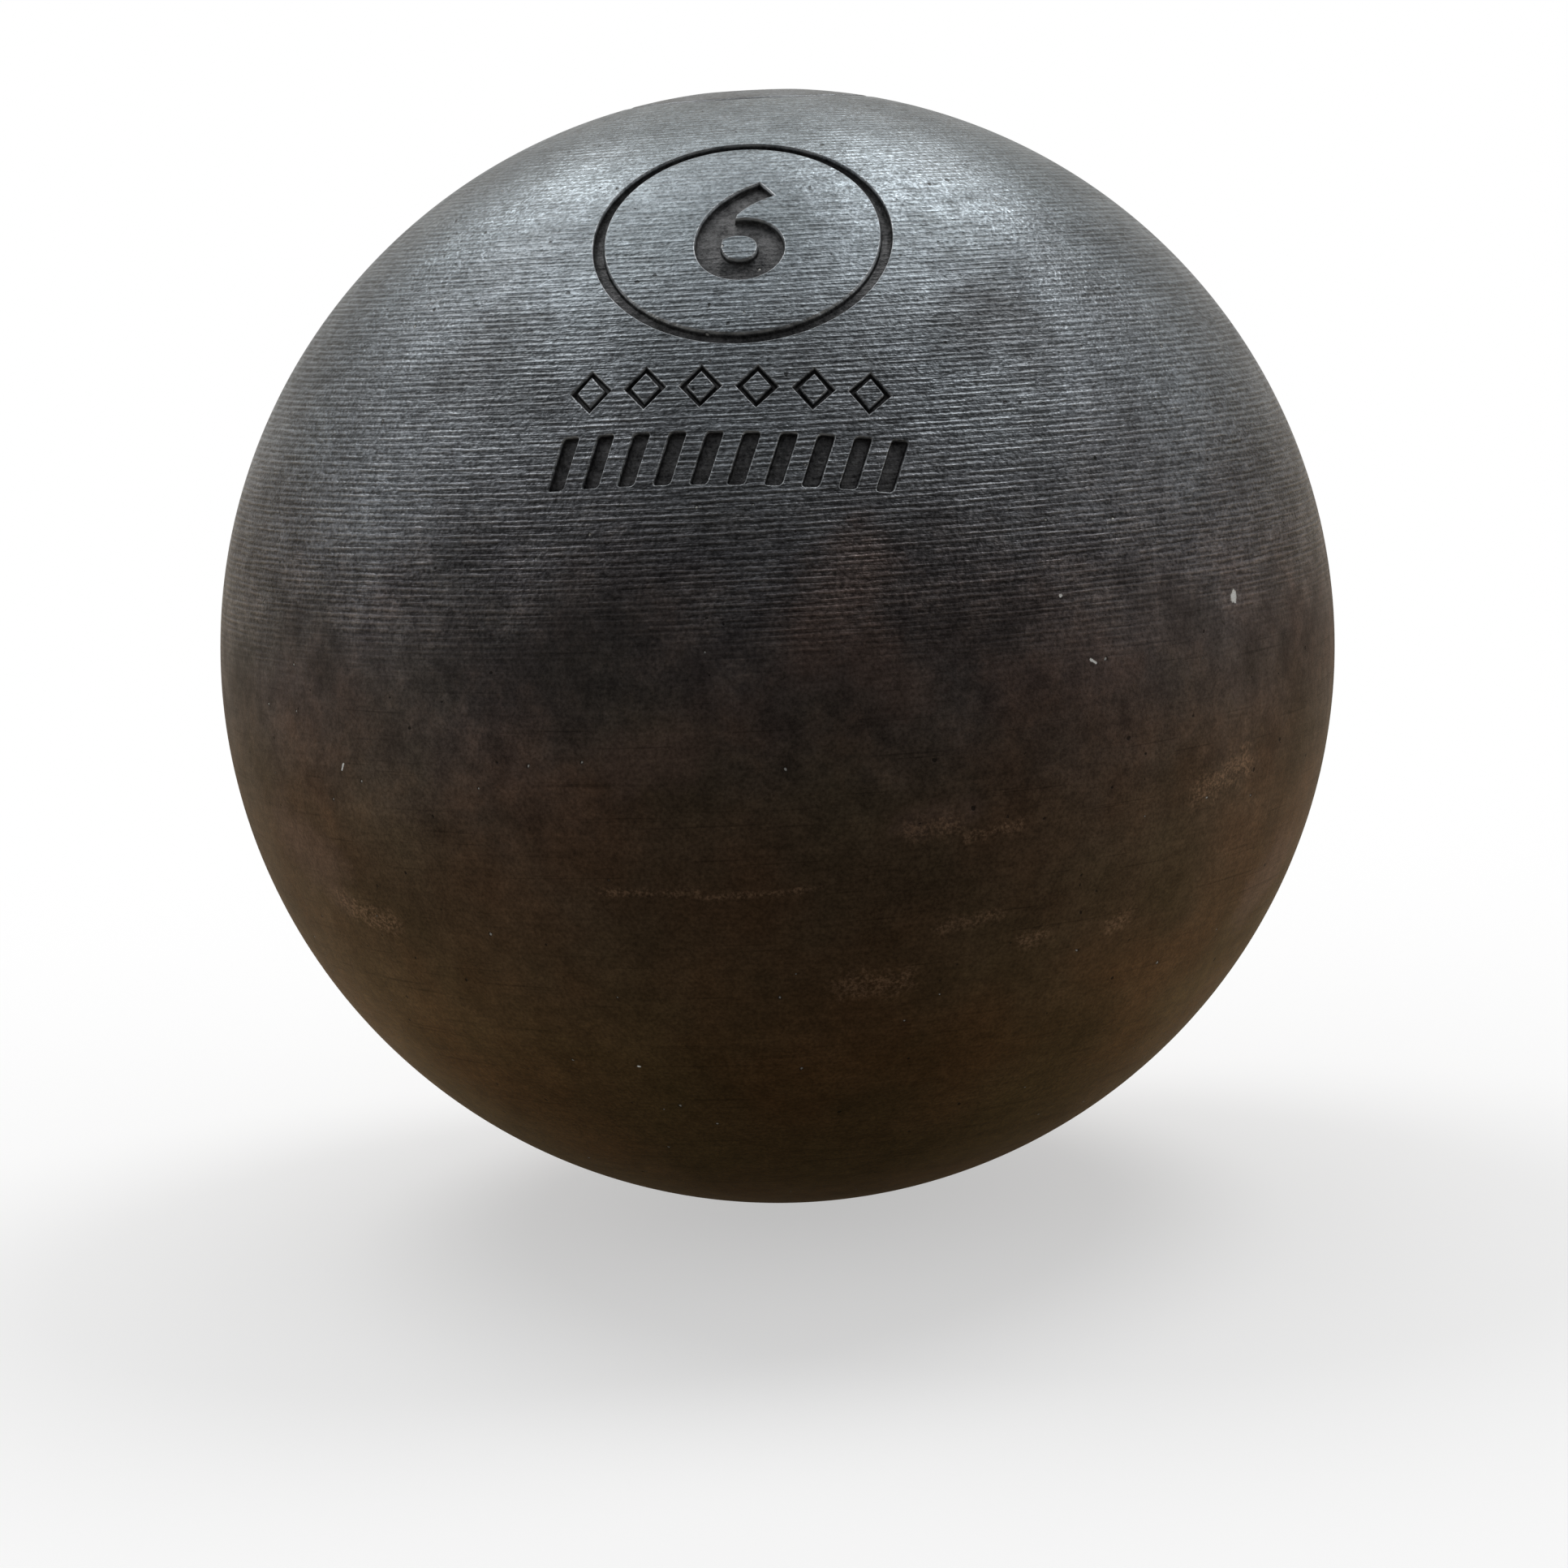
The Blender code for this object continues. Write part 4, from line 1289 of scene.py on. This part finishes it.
def seen_rays(nodes):
    """1 for what the camera sees, straight or mirrored or through glass, and whether it is mirrored."""
    path = nodes.new("ShaderNodeLightPath").outputs
    rays = [path["Is Camera Ray"], path["Is Glossy Ray"], path["Is Transmission Ray"]]
    return calc("MAXIMUM", *rays), path["Is Glossy Ray"]


def front_dimming(direction):
    """What the ball's mirror loses towards the front, where a studio is dark."""
    forward = vector("DOT_PRODUCT", vector("NORMALIZE", direction), (0.0, -1.0, 0.0))
    return ramp(forward, *FRONT_EDGE, 0.0, 1.0 - FRONT_DIM)


def floor_finish():
    """Pale paint near the ball, which takes its shadow, fading to the backdrop's white further off."""
    material, shader, position = blank_material("pale_floor")
    nodes = material.node_tree.nodes
    seen, mirrored = seen_rays(nodes)
    feed(shader, {"Base Color": FLOOR_TONE, "Roughness": 0.9, "Specular IOR Level": 0.1})
    away = vector("LENGTH", position)
    far = times(ramp(away, *FLOOR_WHITENS), seen)
    tone = blend(mirrored, WHITE, FLOOR_MIRRORED)
    # In the ball's mirror the floor glows warm, a painted reflection, dimmer to the front and dimmer next to
    # the ball as a painted shadow
    left_over = minus(1.0, front_dimming(position))
    left_over = times(left_over, ramp(away, *FLOOR_MIRROR_SHADOW))
    strength = ramp(mirrored, 0.0, 1.0, 1.0, left_over)
    white = put("Emission", {"Color": tone, "Strength": strength})
    shown = {0: calc("MAXIMUM", far, mirrored), 1: shader.outputs[0], 2: white.outputs[0]}
    mixed = put("MixShader", shown)
    feed(nodes["Material Output"], {"Surface": mixed.outputs[0]})
    return material


def floor():
    bm = bmesh.new()
    place = Matrix.Translation((0.0, 0.0, ball_low.z))
    bmesh.ops.create_circle(bm, cap_ends=True, segments=FLOOR_SEGMENTS, radius=FLOOR_REACH, matrix=place)
    piece_from("floor", bm, floor_finish())


def world():
    """White wherever it is seen, dimmer in the ball's own mirror to the front, and a soft fill elsewhere."""
    backdrop = bpy.data.worlds.new("backdrop")
    bpy.context.scene.world = backdrop
    backdrop.use_nodes = True
    nodes = backdrop.node_tree.nodes
    seen, mirrored = seen_rays(nodes)
    direction = nodes.new("ShaderNodeTexCoord").outputs["Generated"]
    lost = times(front_dimming(direction), mirrored)
    strength = minus(ramp(seen, 0.0, 1.0, FILL, 1.0), lost)
    feed(nodes["Background"], {"Color": WHITE, "Strength": strength})


# Each softbox: its name, the way to it from the ball, its width in metres and its power in watts
SOFTBOXES = (
    ("right_softbox", (0.38, 0.27, 0.84), 0.55, 4.2),
    ("left_softbox", (-0.41, 0.35, 0.83), 0.60, 4.0),
    ("top_softbox", (0.0, 0.52, 0.85), 1.1, 2.8),
)
SOFTBOX_DISTANCE = 1.2


def aimed(name, data, place, roll=0.0):
    """Adds a lamp or a camera that looks at the ball's centre."""
    item = in_scene(name, data)
    look = place.to_track_quat("Z", "Y").to_matrix().to_4x4()
    item.matrix_world = Matrix.Translation(place) @ look @ Matrix.Rotation(roll, 4, "Z")
    return item


def lamps():
    for name, direction, size, power in SOFTBOXES:
        lamp = bpy.data.lights.new(name, "AREA")
        lamp.shape = "DISK"
        lamp.size = size
        lamp.energy = power
        aimed(name, lamp, Vector(direction).normalized() * SOFTBOX_DISTANCE)


def camera():
    """The photograph's view: low, close and leaning a little."""
    lens = bpy.data.cameras.new("camera")
    focal_pixels = BALL_PIXEL_RADIUS * math.sqrt((CAMERA_DISTANCE / BALL_RADIUS) ** 2 - 1)
    lens.lens = SENSOR * focal_pixels / PHOTO_SIZE
    lens.sensor_width = SENSOR
    lens.sensor_fit = "HORIZONTAL"
    lens.shift_x = -BALL_PIXEL_RIGHT / PHOTO_SIZE
    lens.shift_y = -BALL_PIXEL_UP / PHOTO_SIZE
    lens.clip_start = 0.01
    place = Vector((0.0, -math.cos(CAMERA_ELEVATION), math.sin(CAMERA_ELEVATION))) * CAMERA_DISTANCE
    bpy.context.scene.camera = aimed("camera", lens, place, -CAMERA_ROLL)


def assemble():
    """Makes every piece, hides its CAD node and attaches the piece to its body."""
    lines, spots, mark = turned_lines(), specks(), blot()
    lead = lead_finish(spots)
    pieces = [
        (iron_ball(iron_finish(lines, spots, mark)), "iron_ball", "ball", "turned_iron"),
        (screw_plug(steel_finish(lines, spots)), "screw_plug", "plug", "blacked_steel"),
        (seal_ring(rubber_finish()), "seal_ring", "seal", "seal_rubber"),
        (packing_wad(felt_finish()), "packing_wad", "ball", "grey_felt"),
        (lead_slug(lead), "lead_slug", "ball", "lead"),
    ]
    for node in sorted(frame["nodes"]):
        if node.startswith("trim_disc"):
            pieces.append((trim_disc(node, lead), node, "ball", "lead"))
    for piece, node, body, slot in pieces:
        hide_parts(node)
        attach(piece, body)


bpy.context.scene.view_settings.view_transform = "Standard"
camera()
world()
lamps()
floor()
assemble()
